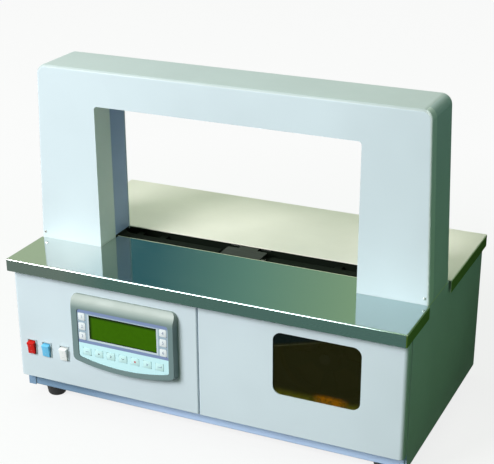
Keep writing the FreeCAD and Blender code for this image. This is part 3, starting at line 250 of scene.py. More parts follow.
@dataclass(frozen=True)
class SheetMetal(Finish):
    """Bare sheet metal whose grain runs along one axis."""

    colour: Colour
    along: Axis = Axis.X
    roughness: float = 0.3
    grain: float = 0.1
    drift: float = 0.12
    bare: float = 1.0
    fineness: float = 1400.0
    length: float = 60.0
    stains: float = 14.0

    def fill(self) -> None:
        """Sets the nodes."""
        stretch = [self.fineness] * 3
        stretch[self.along.value] /= self.length
        lines = self.cloud(1.0, 2.0, tuple(stretch))
        patches = self.span(self.cloud(self.stains, 4.0), MIDDLE)
        self.set(Base_Color=self.tint(patches, scaled(self.colour, 1.0 - self.drift), self.colour),
                 Roughness=self.span(lines, MIDDLE, (self.roughness * 0.8, self.roughness * 1.25)),
                 Metallic=self.bare)
        self.relief(lines, self.grain)


@dataclass(frozen=True)
class PolishedSheet(Finish):
    """Mirror-polished steel with faint rolling waves and hairline wiping marks, whose colour may turn
    towards the left as a painted reflection.
    """

    colour: Colour
    roughness: float = 0.05
    wave: float = 0.12
    west_colour: Colour | None = None
    west: Span = (-0.20, -0.13)
    rolling: Point = (3.0, 9.0, 9.0)
    wiping: Point = (30.0, 900.0, 900.0)
    smears: float = 9.0

    def fill(self) -> None:
        """Sets the nodes."""
        rough = self.roughness
        smeared = self.span(self.cloud(self.smears, 4.0), (0.35, 0.75), (rough, rough * 2.2))
        wiped = self.span(self.cloud(1.0, 2.0, self.wiping), (0.5, 0.75), (0.0, rough))
        self.set(Base_Color=self.graded(self.colour, self.west_colour, self.west), Metallic=1.0,
                 Roughness=self.work("ADD", smeared, wiped))
        self.relief(self.cloud(1.0, 2.0, self.rolling), self.wave, 0.0008)


@dataclass(frozen=True)
class Plastic(Finish):
    """Moulded plastic with a spark-eroded grain, which may have painted light on its hood as a lighter
    colour above a height.
    """

    colour: Colour
    roughness: float = 0.45
    grain: float = 0.12
    fineness: float = 1500.0
    shine: float = 0.5
    hood_colour: Colour | None = None
    hood: Span = (0.166, 0.180)
    cloudiness: float = 25.0

    def fill(self) -> None:
        """Sets the nodes."""
        wide = self.cloud(self.cloudiness)
        shade = self.tint(wide, scaled(self.colour, 0.93), self.colour)
        # Painted light: above the hood's height, the colour turns into the lighter hood colour.
        if self.hood_colour is not None:
            shade = self.tint(self.span(self.axis(Axis.Z), self.hood), self.colour, self.hood_colour)
        self.set(Base_Color=shade, Specular_IOR_Level=self.shine,
                 Roughness=self.span(wide, MIDDLE, (self.roughness - 0.05, self.roughness + 0.05)))
        self.relief(self.cloud(self.fineness, 2.0), self.grain)


@dataclass(frozen=True)
class SmokedPane(Finish):
    """Smoked acrylic pane with painted light and shade: a painted warm glow of the lit band low in it, a
    painted lighter low edge, painted shade at its upper left and a painted slanting reflection there.
    """

    colour: Colour = (0.0150, 0.0145, 0.0028)
    # Colour of the painted warm glow of the lit band.
    glow: Colour = (0.25, 0.088, 0.001)
    edge_glow: Colour = (0.085, 0.080, 0.004)
    gloom: Colour = (0.004, 0.009, 0.008)
    streak: Colour = (0.060, 0.060, 0.030)
    alpha: float = 0.80
    across: Span = (0.167, 0.207)
    upwards: Span = (0.096, 0.108)
    low_edge: Span = (0.098, 0.108)
    slope: float = 0.275
    slant: Span = (0.1356, 0.1364)
    slant_across: Span = (0.160, 0.200)
    slant_fade: float = 0.004

    def fill(self) -> None:
        """Sets the nodes."""
        across, up = self.axis(Axis.X), self.axis(Axis.Z)
        grain = self.span(self.cloud(160.0), (0.3, 0.6), (0.3, 1.0))
        warm = self.times(self.window(across, self.across, 0.006), self.window(up, self.upwards, 0.003))
        low = self.times(grain, self.span(up, self.low_edge, FALL))
        rise = self.work("SUBTRACT", up, self.times(across, self.slope))
        left = self.span(across, self.slant_across, FALL)
        above = self.times(left, self.span(rise, (self.slant[1], self.slant[1] + self.slant_fade)))
        line = self.times(left, self.window(rise, self.slant, 0.0004))
        # Painted light and shade on the pane: a lighter low edge, shade above the slant, a reflection line
        # along it and the warm glow of the lit band.
        shade = self.colour
        for mask, colour in ((low, self.edge_glow), (above, self.gloom), (line, self.streak),
                             (self.times(warm, grain), self.glow)):
            shade = self.tint(mask, shade, colour)
        self.set(Base_Color=shade, Roughness=self.span(self.cloud(30.0), MIDDLE, (0.06, 0.12)),
                 Alpha=self.alpha, IOR=1.49, Specular_IOR_Level=0.03)


@dataclass(frozen=True)
class WoundBand(Finish):
    """Edge of a wound paper band: fine rings round the reel's axis."""

    colour: Colour = (0.62, 0.36, 0.12)
    dark: Colour = (0.40, 0.20, 0.06)
    centre: Point = (0.139, 0.0, 0.104)
    pitch: float = 0.0007
    waves: float = 20.0

    def fill(self) -> None:
        """Sets the nodes."""
        mapping = self.add("Mapping", {"Location": self.centre, "Vector": self.coordinate()},
                           vector_type="TEXTURE")
        feeds = {"Scale": 1.0 / (self.pitch * self.waves), "Distortion": 0.4, "Detail": 2.0,
                 "Vector": mapping.outputs["Vector"]}
        rings = self.add("TexWave", feeds, wave_type="RINGS", rings_direction="Y").outputs["Fac"]
        self.set(Base_Color=self.tint(rings, self.dark, self.colour), Roughness=0.7)
        self.relief(rings, 0.3)


@dataclass(frozen=True)
class DisplayGlass(Finish):
    """Dark green display behind a clear lens, in shade along its edges."""

    glow: Colour = (0.040, 0.128, 0.0008)
    shade: Colour = (0.004, 0.012, 0.002)
    left_shade: Span = (-0.1609, -0.1565)
    low_shade: Span = (0.1258, 0.1274)
    top_shade: Span = (0.1568, 0.1603)

    def fill(self) -> None:
        """Sets the nodes."""
        up = self.axis(Axis.Z)
        lit = self.times(self.span(self.axis(Axis.X), self.left_shade), self.span(up, self.top_shade, FALL))
        lit = self.times(lit, self.span(up, self.low_shade))
        cells = self.span(self.cloud(220.0, 1.0), (0.4, 0.6))
        green = self.tint(cells, scaled(self.glow, 0.94), self.glow)
        self.set(Base_Color=self.tint(lit, self.shade, green), Roughness=0.4, Specular_IOR_Level=0.05)


@dataclass(frozen=True)
class PrintedFilm(Finish):
    """Polyester keypad film, printed on its back in bands of colour round the display."""

    body: Colour = (0.36, 0.46, 0.56)
    stripe: Colour = (0.20, 0.26, 0.46)
    pad: Colour = (0.61, 0.89, 0.95)
    edge: Colour = (0.58, 0.66, 0.72)
    edge_across: Span = (-0.1641, -0.0554)
    edge_up: Span = (0.1228, 0.1619)
    stripe_top: float = 0.1632
    stripe_low: Span = (0.1178, 0.1222)

    def fill(self) -> None:
        """Sets the nodes."""
        up = self.axis(Axis.Z)
        rim = self.times(self.window(self.axis(Axis.X), self.edge_across), self.window(up, self.edge_up))
        shade = self.tint(self.cloud(300.0, 2.0), scaled(self.body, 0.97), self.body)
        for mask, colour in ((rim, self.edge), (self.step(up, self.stripe_top), self.stripe),
                             (self.step(up, self.stripe_low[1], FALL), self.stripe),
                             (self.step(up, self.stripe_low[0], FALL), self.pad)):
            shade = self.tint(mask, shade, colour)
        self.set(Base_Color=shade, Roughness=0.38)
        self.relief(self.cloud(2500.0, 1.0), 0.06, 0.00005)


@dataclass(frozen=True)
class Laminate(Finish):
    """Green circuit laminate with copper tracks under its resist."""

    resist: Colour = (0.012, 0.10, 0.035)
    track: Colour = (0.05, 0.22, 0.07)
    fineness: float = 90.0

    def fill(self) -> None:
        """Sets the nodes."""
        cells = self.add("TexVoronoi", {"Scale": self.fineness, "Vector": self.place()},
                         feature="DISTANCE_TO_EDGE", distance="MANHATTAN")
        runs = self.span(cells.outputs["Distance"], (0.03, 0.05), FALL)
        self.set(Base_Color=self.tint(runs, self.resist, self.track), Roughness=0.35)
        self.relief(runs, 0.2, 0.00005)


@dataclass(frozen=True)
class StudioPaper(Finish):
    """White paper that sends little light back on the object, and less on its right side."""

    east: Span = (0.24, 0.30)
    fade: Span = (0.45, 1.2)
    sent_east: Colour = (0.02, 0.035, 0.022)
    sent_west: Colour = (0.09, 0.11, 0.10)
    near: Colour = (0.14, 0.14, 0.14)
    far: Colour = (0.07, 0.07, 0.07)
    glow: Span = (0.825, 0.915)

    def fill(self) -> None:
        """Sets the nodes."""
        path = self.add("LightPath", {}).outputs
        reach = self.add("VectorMath", {0: self.place((1.0, 1.0, 0.0))}, operation="LENGTH")
        away = self.span(reach.outputs["Value"], self.fade)
        west = self.span(self.axis(Axis.X), self.east, FALL)
        direct = self.work("MAXIMUM", path["Is Camera Ray"], path["Is Transmission Ray"])
        seen = self.work("MAXIMUM", direct, self.times(path["Is Glossy Ray"], west))
        sent = self.tint(west, self.sent_east, self.sent_west)
        shown = self.tint(away, self.near, self.far)
        self.set(Base_Color=self.tint(seen, sent, shown), Roughness=0.9, Specular_IOR_Level=0.0,
                 Emission_Color=WHITE, Emission_Strength=self.times(seen, self.span(away, RISE, self.glow)))


@dataclass(frozen=True)
class FlagCloth(Finish):
    """Dull green cloth, lighter towards the floor."""

    low: Colour = (0.165, 0.33, 0.14)
    high: Colour = (0.085, 0.162, 0.138)
    heights: Span = (0.05, 0.5)

    def fill(self) -> None:
        """Sets the nodes."""
        rise = self.span(self.axis(Axis.Z), self.heights)
        self.set(Base_Color=self.tint(rise, self.low, self.high), Roughness=1.0, Specular_IOR_Level=0.0)


@dataclass(frozen=True)
class Room(Finish):
    """World: a dim room, coloured by direction from left to right."""

    store = "worlds"
    shader = "Background"
    colours: tuple[tuple[float, Colour], ...] = (
        (0.02, (0.34, 0.43, 0.43)), (0.20, (0.50, 0.62, 0.42)), (0.242, (0.50, 0.62, 0.42)),
        (0.262, (0.055, 0.165, 0.19)), (0.275, (0.06, 0.175, 0.19)), (0.31, (0.20, 0.37, 0.28)),
        (0.37, (0.47, 0.62, 0.33)), (0.50, (0.40, 0.54, 0.31)), (0.62, (0.46, 0.64, 0.46)),
        (0.98, (0.54, 0.72, 0.57)))
    share: float = 0.72

    def fill(self) -> None:
        """Sets the nodes."""
        ramp = self.add("ValToRGB", {0: self.span(self.axis(Axis.X, "Generated"), (-1.0, 1.0))})
        stops = ramp.color_ramp.elements
        for place, colour in self.colours:
            stops.new(place).color = (*colour, 1.0)
        stops.remove(stops[0])
        stops.remove(stops[-1])
        glossy = self.add("LightPath", {}).outputs["Is Glossy Ray"]
        self.set(Color=ramp.outputs[0], Strength=self.span(glossy, RISE, (self.share, 1.0)))


FINISHES: tuple[Finish, ...] = (
    Enamel("case_enamel", (0.655, 0.735, 0.80)),
    Enamel("base_enamel", (0.55, 0.70, 1.0), roughness=0.4, west_colour=(0.22, 0.34, 0.50)),
    Enamel("track_enamel", (0.012, 0.014, 0.016), roughness=0.45),
    Enamel("flap_enamel", (0.43, 0.53, 0.82), roughness=0.32, peel=0.05),
    # Copies of the case paint that paint light and shade on the arch cover: lighter for the reveal and the
    # right side's front strip, darker for the top, the front bend and the undersides.
    Enamel("reveal_painted_light", (0.93, 0.97, 0.97)),
    Enamel("side_strip_painted_light", (0.88, 0.94, 0.97)),
    Enamel("top_painted_shade", (0.62, 0.675, 0.71)),
    Enamel("bend_painted_shade", (0.54, 0.60, 0.62)),
    Enamel("under_painted_shade", (0.26, 0.28, 0.24)),
    # Near-black painted shade for what shows in the band slot: its track, and the tops of the plates below
    # it.
    Enamel("slot_painted_shade", (0.005, 0.008, 0.005), roughness=0.6, shine=0.04),
    Enamel("motor_enamel", (0.035, 0.035, 0.04), roughness=0.4),
    # Front table: lighter towards the left, a painted reflection of the arch's left leg. Its lip: a darker
    # copy, a painted reflection of dark surroundings, lighter towards the left.
    PolishedSheet("table_polish", (0.46, 0.56, 0.565), west_colour=(0.63, 0.67, 0.65)),
    PolishedSheet("lip_painted_reflection", (0.07, 0.14, 0.12), roughness=0.14, west_colour=(0.12, 0.165, 0.14)),
    # Olive copy of sheet metal: painted shade on the tables' right lips.
    SheetMetal("right_lip_painted_shade", (0.24, 0.36, 0.07), roughness=0.4, bare=0.4),
    # Pale sheet that paints highlight lines: the front table's rear edge, the tables' right bends and the
    # arch's right foot.
    SheetMetal("painted_highlight", (0.86, 0.90, 0.62), roughness=0.4, bare=0.2),
    # Near-black painted shade on the anvil in the band slot.
    SheetMetal("anvil_painted_shade", (0.012, 0.015, 0.011), roughness=0.5, bare=0.1),
    SheetMetal("rear_table_satin", (0.88, 0.84, 0.74), roughness=0.55, drift=0.06, bare=0.08),
    SheetMetal("zinc_plate", (0.62, 0.64, 0.66), roughness=0.34),
    SheetMetal("plate_aluminium", (0.66, 0.67, 0.68), roughness=0.4),
    SheetMetal("ground_steel", (0.56, 0.57, 0.58), along=Axis.Z, roughness=0.22),
    SheetMetal("screw_nickel", (0.60, 0.62, 0.60), roughness=0.25),
    # Panel housing with painted light on its hood.
    Plastic("panel_grey", (0.15, 0.22, 0.225), roughness=0.42, hood_colour=(0.298, 0.352, 0.322)),
    # Dark copy of the panel plastic: painted shade on the recess's left wall.
    Plastic("recess_painted_shade", (0.045, 0.075, 0.085), roughness=0.5),
    Plastic("key_white", (0.80, 0.83, 0.87), roughness=0.4, grain=0.05),
    Plastic("key_cyan", (0.62, 0.87, 0.89), roughness=0.4, grain=0.05),
    Plastic("mark_blue", (0.16, 0.20, 0.34), grain=0.02),
    Plastic("mark_red", (0.55, 0.05, 0.06), grain=0.02),
    Plastic("mark_dark", (0.05, 0.06, 0.08), grain=0.02),
    Plastic("switch_black", (0.022, 0.024, 0.028), roughness=0.4),
    Plastic("switch_grey", (0.52, 0.60, 0.64), roughness=0.4),
    Plastic("rocker_red", (0.67, 0.019, 0.015), grain=0.03, shine=0.1),
    Plastic("rocker_blue", (0.175, 0.59, 0.92), roughness=0.35, grain=0.03, shine=0.2),
    Plastic("rocker_white", (0.97, 0.97, 0.97), roughness=0.35, grain=0.03, shine=0.2),
    Plastic("ink_on_red", (0.68, 0.16, 0.14), grain=0.02),
    Plastic("ink_on_blue", (0.36, 0.64, 0.84), grain=0.02),
    Plastic("ink_on_white", (0.62, 0.66, 0.68), grain=0.02),
    Plastic("reel_black", (0.03, 0.03, 0.033), roughness=0.38),
    Plastic("inlet_black", (0.02, 0.02, 0.022), roughness=0.42),
    Plastic("tyre_orange", (0.62, 0.17, 0.03), roughness=0.6, grain=0.2),
    Plastic("foot_rubber", (0.012, 0.012, 0.013), roughness=0.75, grain=0.3, fineness=900.0),
    SmokedPane("smoked_pane"),
    WoundBand("wound_band"),
    DisplayGlass("display_green"),
    PrintedFilm("film_print"),
    Laminate("board_laminate"),
)


# Shapes


def bevel(shape: Shape, edges: list[bmesh.types.BMEdge], width: float, segments: int = 2) -> None:
    """Rounds some edges of a shape."""
    bmesh.ops.bevel(shape, geom=edges, offset=width, offset_type="OFFSET", affect="EDGES",
                    segments=segments, profile=0.5, clamp_overlap=True, material=-1)


def block(size: Point) -> Shape:
    """Builds a box about the origin.

    Args:
        size: Width, depth and height.

    Returns:
        The shape.
    """
    shape = bmesh.new()
    bmesh.ops.create_cube(shape, size=1.0, matrix=Matrix.Diagonal((*size, 1.0)))
    return shape


def move(shape: Shape, shift: Vector | Point, turn: Matrix = Matrix.Identity(3)) -> None:
    """Turns a shape about the origin and then moves it."""
    bmesh.ops.transform(shape, matrix=Matrix.Translation(shift) @ turn.to_4x4(), verts=shape.verts)


def split(shape: Shape, faces: list[Face], axis: Axis, place: float) -> None:
    """Cuts faces at right angles to an axis and keeps both halves.

    Args:
        shape: Shape to change.
        faces: The faces to cut.
        axis: The axis.
        place: Where on the axis the cut is.
    """
    across = Vector([float(entry is axis) for entry in Axis])
    edges = {edge for face in faces for edge in face.edges}
    verts = {vert for face in faces for vert in face.verts}
    bmesh.ops.bisect_plane(shape, geom=[*verts, *edges, *faces], dist=HAIR, plane_co=across * place,
                           plane_no=across)


def pour(target: Shape, source: Shape, number: int | None = None) -> None:
    """Adds one shape to another.

    Args:
        target: Shape that grows.
        source: Shape that is added and freed.
        number: Material number of the added faces, or None to leave theirs.
    """
    if number is not None:
        for face in source.faces:
            face.material_index = number
    mesh = bpy.data.meshes.new("pour")
    source.to_mesh(mesh)
    source.free()
    target.from_mesh(mesh)
    bpy.data.meshes.remove(mesh)


def stand(name: str, shape: Shape) -> bpy.types.Object:
    """Turns a shape into a smooth object of the scene.

    Args:
        name: Name of the object.
        shape: Its mesh, in place, which is freed.

    Returns:
        The object.
    """
    mesh = bpy.data.meshes.new(name)
    shape.to_mesh(mesh)
    shape.free()
    mesh.shade_smooth()
    piece = bpy.data.objects.new(name, mesh)
    bpy.context.scene.collection.objects.link(piece)
    return piece


@dataclass(frozen=True)
class PanHead:
    """Small cross-head machine screw whose head stands out along one direction."""

    radius: float = 0.0026
    height: float = 0.0012
    steps: int = 20
    taper: float = 0.8
    cross: Point = (1.1, 0.22, 0.1)
    cross_turn: float = 0.4

    def shape(self, place: Point, out: Point) -> Shape:
        """Builds the head.

        Args:
            place: Middle of its seat.
            out: Direction that it points to.

        Returns:
            The shape.
        """
        head = bmesh.new()
        bmesh.ops.create_cone(head, cap_ends=True, cap_tris=False, segments=self.steps, radius1=self.radius,
                              radius2=self.radius * self.taper, depth=self.height,
                              matrix=Matrix.Translation((0.0, 0.0, self.height / 2)))
        rim = [edge for edge in head.edges if all(vert.co.z > self.height * 0.9 for vert in edge.verts)]
        bevel(head, rim, self.height * 0.4)
        length, width, depth = self.cross
        for turn in (0.0, math.pi / 2):
            slot = block((self.radius * length, self.radius * width, self.height * depth))
            move(slot, (0.0, 0.0, self.height * 1.01), Matrix.Rotation(turn + self.cross_turn, 3, "Z"))
            pour(head, slot, 1)
        move(head, place, Vector((0.0, 0.0, 1.0)).rotation_difference(Vector(out)).to_matrix())
        return head


class Bench:
    """Turns shapes into finished pieces that ride on the machine's bodies."""

    same_place = 0.000002
    same_plane = math.radians(0.4)
    sharp = math.radians(35.0)

    def __init__(self) -> None:
        """Makes the finishes and keeps the record's slots."""
        self.finishes = {finish.name: finish.make() for finish in FINISHES}
        self.slots = {entry["node"]: entry["material_slot"] for entry in frame["record"]["subparts"]}
        self.count = 0

    def finish(self, name: str, shape: Shape, body: str, slot: str, finishes: tuple[str, ...],
               weighted: bool = True) -> bpy.types.Object:
        """Makes a piece from a shape.

        Args:
            name: Name of the piece.
            shape: Its mesh, in place, which is freed.
            body: Body that it rides on.
            slot: Material slot of the record; not used.
            finishes: Names of its finishes, in the order of the faces' material numbers.
            weighted: Whether large faces lead the shading at the edges.

        Returns:
            The object.
        """
        piece = stand(name, shape)
        piece.data.set_sharp_from_angle(angle=self.sharp)
        for entry in finishes:
            piece.data.materials.append(self.finishes[entry])
        if weighted:
            modifier = piece.modifiers.new("weighted", "WEIGHTED_NORMAL")
            modifier.keep_sharp = True
        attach(piece, body)
        self.count += 1
        log.info("%s rides on %s, %d faces", name, body, len(piece.data.polygons))
        return piece

    def formed(self, node: str, width: float, segments: int = 2, angle: float = 32.0,
               shortest: float = 0.0) -> Shape:
        """Copies a CAD node, joins its loose triangles into whole faces and rounds its sharp edges.

        Args:
            node: Name of the CAD node.
            width: Width of the rounding, 0 for none.
            segments: Steps across it.
            angle: Edges that turn by less than this, in degrees, are left.
            shortest: Edges shorter than this are left.

        Returns:
            The shape.
        """
        shape = bmesh.new()
        shape.from_mesh(frame["nodes"][node].data)
        bmesh.ops.remove_doubles(shape, verts=shape.verts, dist=self.same_place)
        bmesh.ops.dissolve_limit(shape, angle_limit=self.same_plane, verts=shape.verts, edges=shape.edges)
        if width > 0.0:
            bevel(shape, [edge for edge in shape.edges
                          if edge.is_manifold and edge.calc_face_angle() > math.radians(angle)
                          and edge.calc_length() > shortest], width, segments)
        return shape

    def refine(self, node: str, *finishes: str, shape: Shape | None = None, width: float = 0.0003,
               segments: int = 2, cut_z: float | None = None, choose: Choice | None = None,
               cap: bool = False) -> None:
        """Stands a shape in for a CAD node: the one given, or a copy of the node with rounded edges.

        Args:
            node: Name of the CAD node.
            finishes: Names of the finishes.
            shape: The shape, if it isn't to be made here.
            width: Width of the rounding, 0 for none.
            segments: Steps across it.
            cut_z: Height at which the faces are cut in two, if any.
            choose: Picks a face's finish by the face and its middle.
            cap: Whether the piece is named a cap and no face leads its shading.
        """
        if shape is None:
            shape = self.formed(node, width, segments)
        if cut_z is not None:
            split(shape, shape.faces[:], Axis.Z, cut_z)
        if choose is not None:
            for face in shape.faces:
                face.material_index = finishes.index(choose(face, face.calc_center_median()))
        name = node + ("_cap" if cap else "_formed")
        body = frame["nodes"][node]["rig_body"]
        piece = self.finish(name, shape, body, self.slots[node], finishes, not cap)
        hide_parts(node)

    def screws(self, name: str, places: list[Point], out: Point, screw: PanHead = PanHead()) -> None:
        """Adds a row of screws as one piece.

        Args:
            name: Name of the piece.
            places: Seats of the heads.
            out: Direction that they point to.
            screw: The kind of screw.
        """
        row = bmesh.new()
        for place in places:
            pour(row, screw.shape(place, out))
        self.finish(name, row, MACHINE, "zinc_steel", ("screw_nickel", "mark_dark"))


# Cabinet


@dataclass
class Cabinet:
    """Base pan, feet, side sheets, rear sheet, front cover and the door with its window."""

    bench: Bench
    back_y: float = 0.1705
    low_z: float = 0.04
    edge: float = 0.0006
    fold: float = 0.0005
    sole_z: float = 0.001
    sole_angle: float = 0.6
    sole_round: float = 0.0035
    screw_x: float = 0.272
    screw_z: Span = (0.05, 0.19)

    def build(self) -> None:
        """Builds every piece."""
        self.covers()
        self.bench.refine("base_pan", "base_enamel", width=self.fold)
        self.feet()
        self.bench.refine("door_window", "smoked_pane", width=0.0)
        places = [(x, self.back_y, z) for x in (-self.screw_x, 0.0, self.screw_x) for z in self.screw_z]
        self.bench.screws("rear_sheet_screws", places, REAR)

    def covers(self) -> None:
        """Sheet covers with softened folds, and the door's catch and pivots.

        The side sheets' front folds and the lower pivot are in the colour of the base.
        """
        for node in ("front_panel", "front_door"):
            self.bench.refine(node, "case_enamel", width=self.edge)
        self.bench.refine("rear_panel", "case_enamel", width=self.fold)
        for node in ("side_panel_right", "side_panel_left"):
            self.bench.refine(node, "case_enamel", "base_enamel", width=self.fold,
                              cut_z=self.low_z - self.edge, choose=self.side_coat)
        self.bench.refine("door_catch", "zinc_plate")
        self.bench.refine("door_pivots", "zinc_plate", "base_enamel", choose=lambda _face, middle: (
            "base_enamel" if middle.z < self.low_z else "zinc_plate"))

    def side_coat(self, face: Face, middle: Vector) -> str:
        """Returns the finish of one face of a side sheet."""
        low_front = middle.z < self.low_z - self.edge and face.normal.y < -0.5
        return "base_enamel" if low_front else "case_enamel"

    def feet(self) -> None:
        """Feet with a large round at the ground."""
        shape = self.bench.formed("rubber_feet", 0.0)
        rims = [edge for edge in shape.edges if edge.calc_face_angle() > self.sole_angle
                and all(vert.co.z < self.sole_z for vert in edge.verts)]
        bevel(shape, rims, self.sole_round, 4)
        self.bench.refine("rubber_feet", "foot_rubber", shape=shape)


# Tables


@dataclass
class Tables:
    """Polished front table whose bent lip is darker by a painted reflection, satin rear table, and the band
    slot in painted shade.
    """

    bench: Bench
    edge: float = 0.0004
    # Rear edge of the front table's top, and the width of the painted highlight strip in front of it.
    rear_edge_y: float = -0.0412
    rear_edge: float = 0.0014
    level: float = 0.8
    aside: float = 0.3
    side_bend: float = 0.2
    front_bend: float = 0.45

    def build(self) -> None:
        """Builds every piece."""
        self.table("front_table", "table_polish", "lip_painted_reflection")
        self.table("rear_table", "rear_table_satin", "rear_table_satin")
        # The band slot's track is near-black painted shade.
        self.bench.refine("slot_track", "slot_painted_shade")

    def table(self, node: str, top: str, lip: str) -> None:
        """Table, whose top has a painted highlight line at its rear edge.

        Args:
            node: Name of the CAD node.
            top: Finish of what faces up.
            lip: Finish of the lips, apart from the right one.
        """
        shape = self.bench.formed(node, self.edge)
        tops = [face for face in shape.faces if face.normal.z > self.level]
        split(shape, tops, Axis.Y, self.rear_edge_y - self.rear_edge)
        self.bench.refine(node, top, lip, "right_lip_painted_shade", "painted_highlight", shape=shape,
                          choose=lambda face, middle: self.coat(face, middle, top, lip))

    def coat(self, face: Face, middle: Vector, top: str, lip: str) -> str:
        """Picks the finish of one face of a table.

        Args:
            face: The face.
            middle: Its middle.
            top: Finish of what faces up.
            lip: Finish of the lips, apart from the right one.

        Returns:
            Name of the finish.
        """
        # Faces up: a strip of painted highlight along the rear edge, and the top finish on the rest.
        if face.normal.z > self.level:
            return "painted_highlight" if self.rear_edge_y - self.rear_edge < middle.y < self.rear_edge_y else top
        # Right lip: painted highlight on its bend, painted shade on its side.
        if face.normal.x > self.aside:
            return "painted_highlight" if face.normal.z > self.side_bend else "right_lip_painted_shade"
        # Front bend: the upper faces keep the top finish, which shows the highlight. The lower faces and
        # the lip take the lip finish, which on the front table is a painted reflection.
        return top if face.normal.z > self.front_bend else lip


# Arch


@dataclass
class Arch:
    """Painted arch with its back plate, posts, guide track and sprung flaps."""

    bench: Bench
    edge: float = 0.0006
    back_y: float = -0.0058
    side_x: float = 0.25
    opening_x: float = 0.193
    opening_z: float = 0.4295
    # Depth where the right side's strip of painted light ends, and height below which the right side gets a
    # painted highlight line.
    strip_y: float = -0.0702
    foot_z: float = 0.2239
    aside: float = 0.3
    frontal: float = -0.5
    downward: float = -0.25
    bend: Span = (-0.2, 0.3)
    level: float = 0.7
    foot_screw: Point = (0.2805, -0.088, 0.2325)
    back_screws: tuple[Span, ...] = ((0.236, 0.25), (0.236, 0.40), (0.12, 0.452))

    def build(self) -> None:
        """Builds every piece."""
        self.cover()
        self.bench.refine("arch_back_plate", "case_enamel", width=0.0004)
        self.bench.refine("arch_guide_track", "track_enamel", width=0.0002)
        self.bench.refine("arch_posts", "zinc_plate", width=0.0004)
        for side in ("right", "left", "top"):
            self.bench.refine("guide_flap_" + side, "flap_enamel")
        pins = frame["nodes"]["flap_pins"].data.materials
        pins.clear()
        pins.append(self.bench.finishes["zinc_plate"])
        log.info("flap_pins keeps its solid")
        x, y, z = self.foot_screw
        self.bench.screws("arch_foot_screws", [(-x, y, z), (x, y, z)], FRONT, PanHead(0.0022, 0.001))
        back = [(side * x, self.back_y, z) for side in (-1.0, 1.0) for x, z in self.back_screws]
        self.bench.screws("arch_back_screws", back, REAR)

    def cover(self) -> None:
        """Cover with painted light and shade in lighter and darker copies of the case paint, and a painted
        highlight at its right foot; its right side is cut where two of them meet.
        """
        shape = self.bench.formed("arch_cover", self.edge)
        for axis, place in ((Axis.Y, self.strip_y), (Axis.Z, self.foot_z)):
            side = [face for face in shape.faces if self.faces_right(face, face.calc_center_median())]
            split(shape, side, axis, place)
        self.bench.refine("arch_cover", "case_enamel", "reveal_painted_light", "side_strip_painted_light", "top_painted_shade",
                          "bend_painted_shade", "under_painted_shade", "painted_highlight", shape=shape, choose=self.coat)

    def faces_right(self, face: Face, middle: Vector) -> bool:
        """Returns whether a face is of the cover's right side."""
        return face.normal.x > self.aside and middle.x > self.side_x

    def coat(self, face: Face, middle: Vector) -> str:
        """Picks the finish of one face of the cover.

        Args:
            face: The face.
            middle: Its middle.

        Returns:
            Name of the finish.
        """
        normal = face.normal
        # Inner faces of the opening: painted light, a lighter copy of the case paint.
        if normal.y > self.frontal and abs(middle.x) < self.opening_x and middle.z < self.opening_z:
            return "reveal_painted_light"
        # Faces turned down: painted shade.
        if normal.z < self.downward:
            return "under_painted_shade"
        # Right side: a painted highlight line at the foot, and a strip of painted light along its front
        # edge.
        if self.faces_right(face, middle):
            if middle.z < self.foot_z:
                return "painted_highlight"
            return "side_strip_painted_light" if middle.y < self.strip_y else "case_enamel"
        # Front top bend: painted shade that dims its highlight. Faces up: painted shade on the top.
        if normal.y < self.bend[0] and normal.z > self.bend[1]:
            return "bend_painted_shade"
        return "top_painted_shade" if normal.z > self.level else "case_enamel"


# Control panel


# Thickness of a bar of ink, in sizes of the mark
LINE = 0.16


class KeyMark(Enum):
    """Generic marks that are printed on the keys, with all lengths in sizes of the mark.

    A bar of ink has its width, height, shift across, shift up and turn in degrees, and a disc or triangle
    its radius and number of corners.
    """

    BAR = ((1.1, LINE, 0.0, 0.0, 0.0),)
    UP = ((0.4, 3),)
    RIGHT = ((0.7, LINE, 0.0, 0.2, 38.0), (0.7, LINE, 0.0, -0.2, -38.0))
    DOWN = ((0.7, LINE, -0.22, 0.0, 40.0), (0.7, LINE, 0.22, 0.0, -40.0))
    DOT = ((0.34, 16),)
    PAIR = ((0.9, LINE, 0.0, 0.16, 0.0), (0.6, LINE, 0.0, -0.2, 0.0))
    ENTER = ((1.5, LINE, 0.0, 0.0, 0.0), (LINE, 0.5, 0.7, 0.22, 0.0))


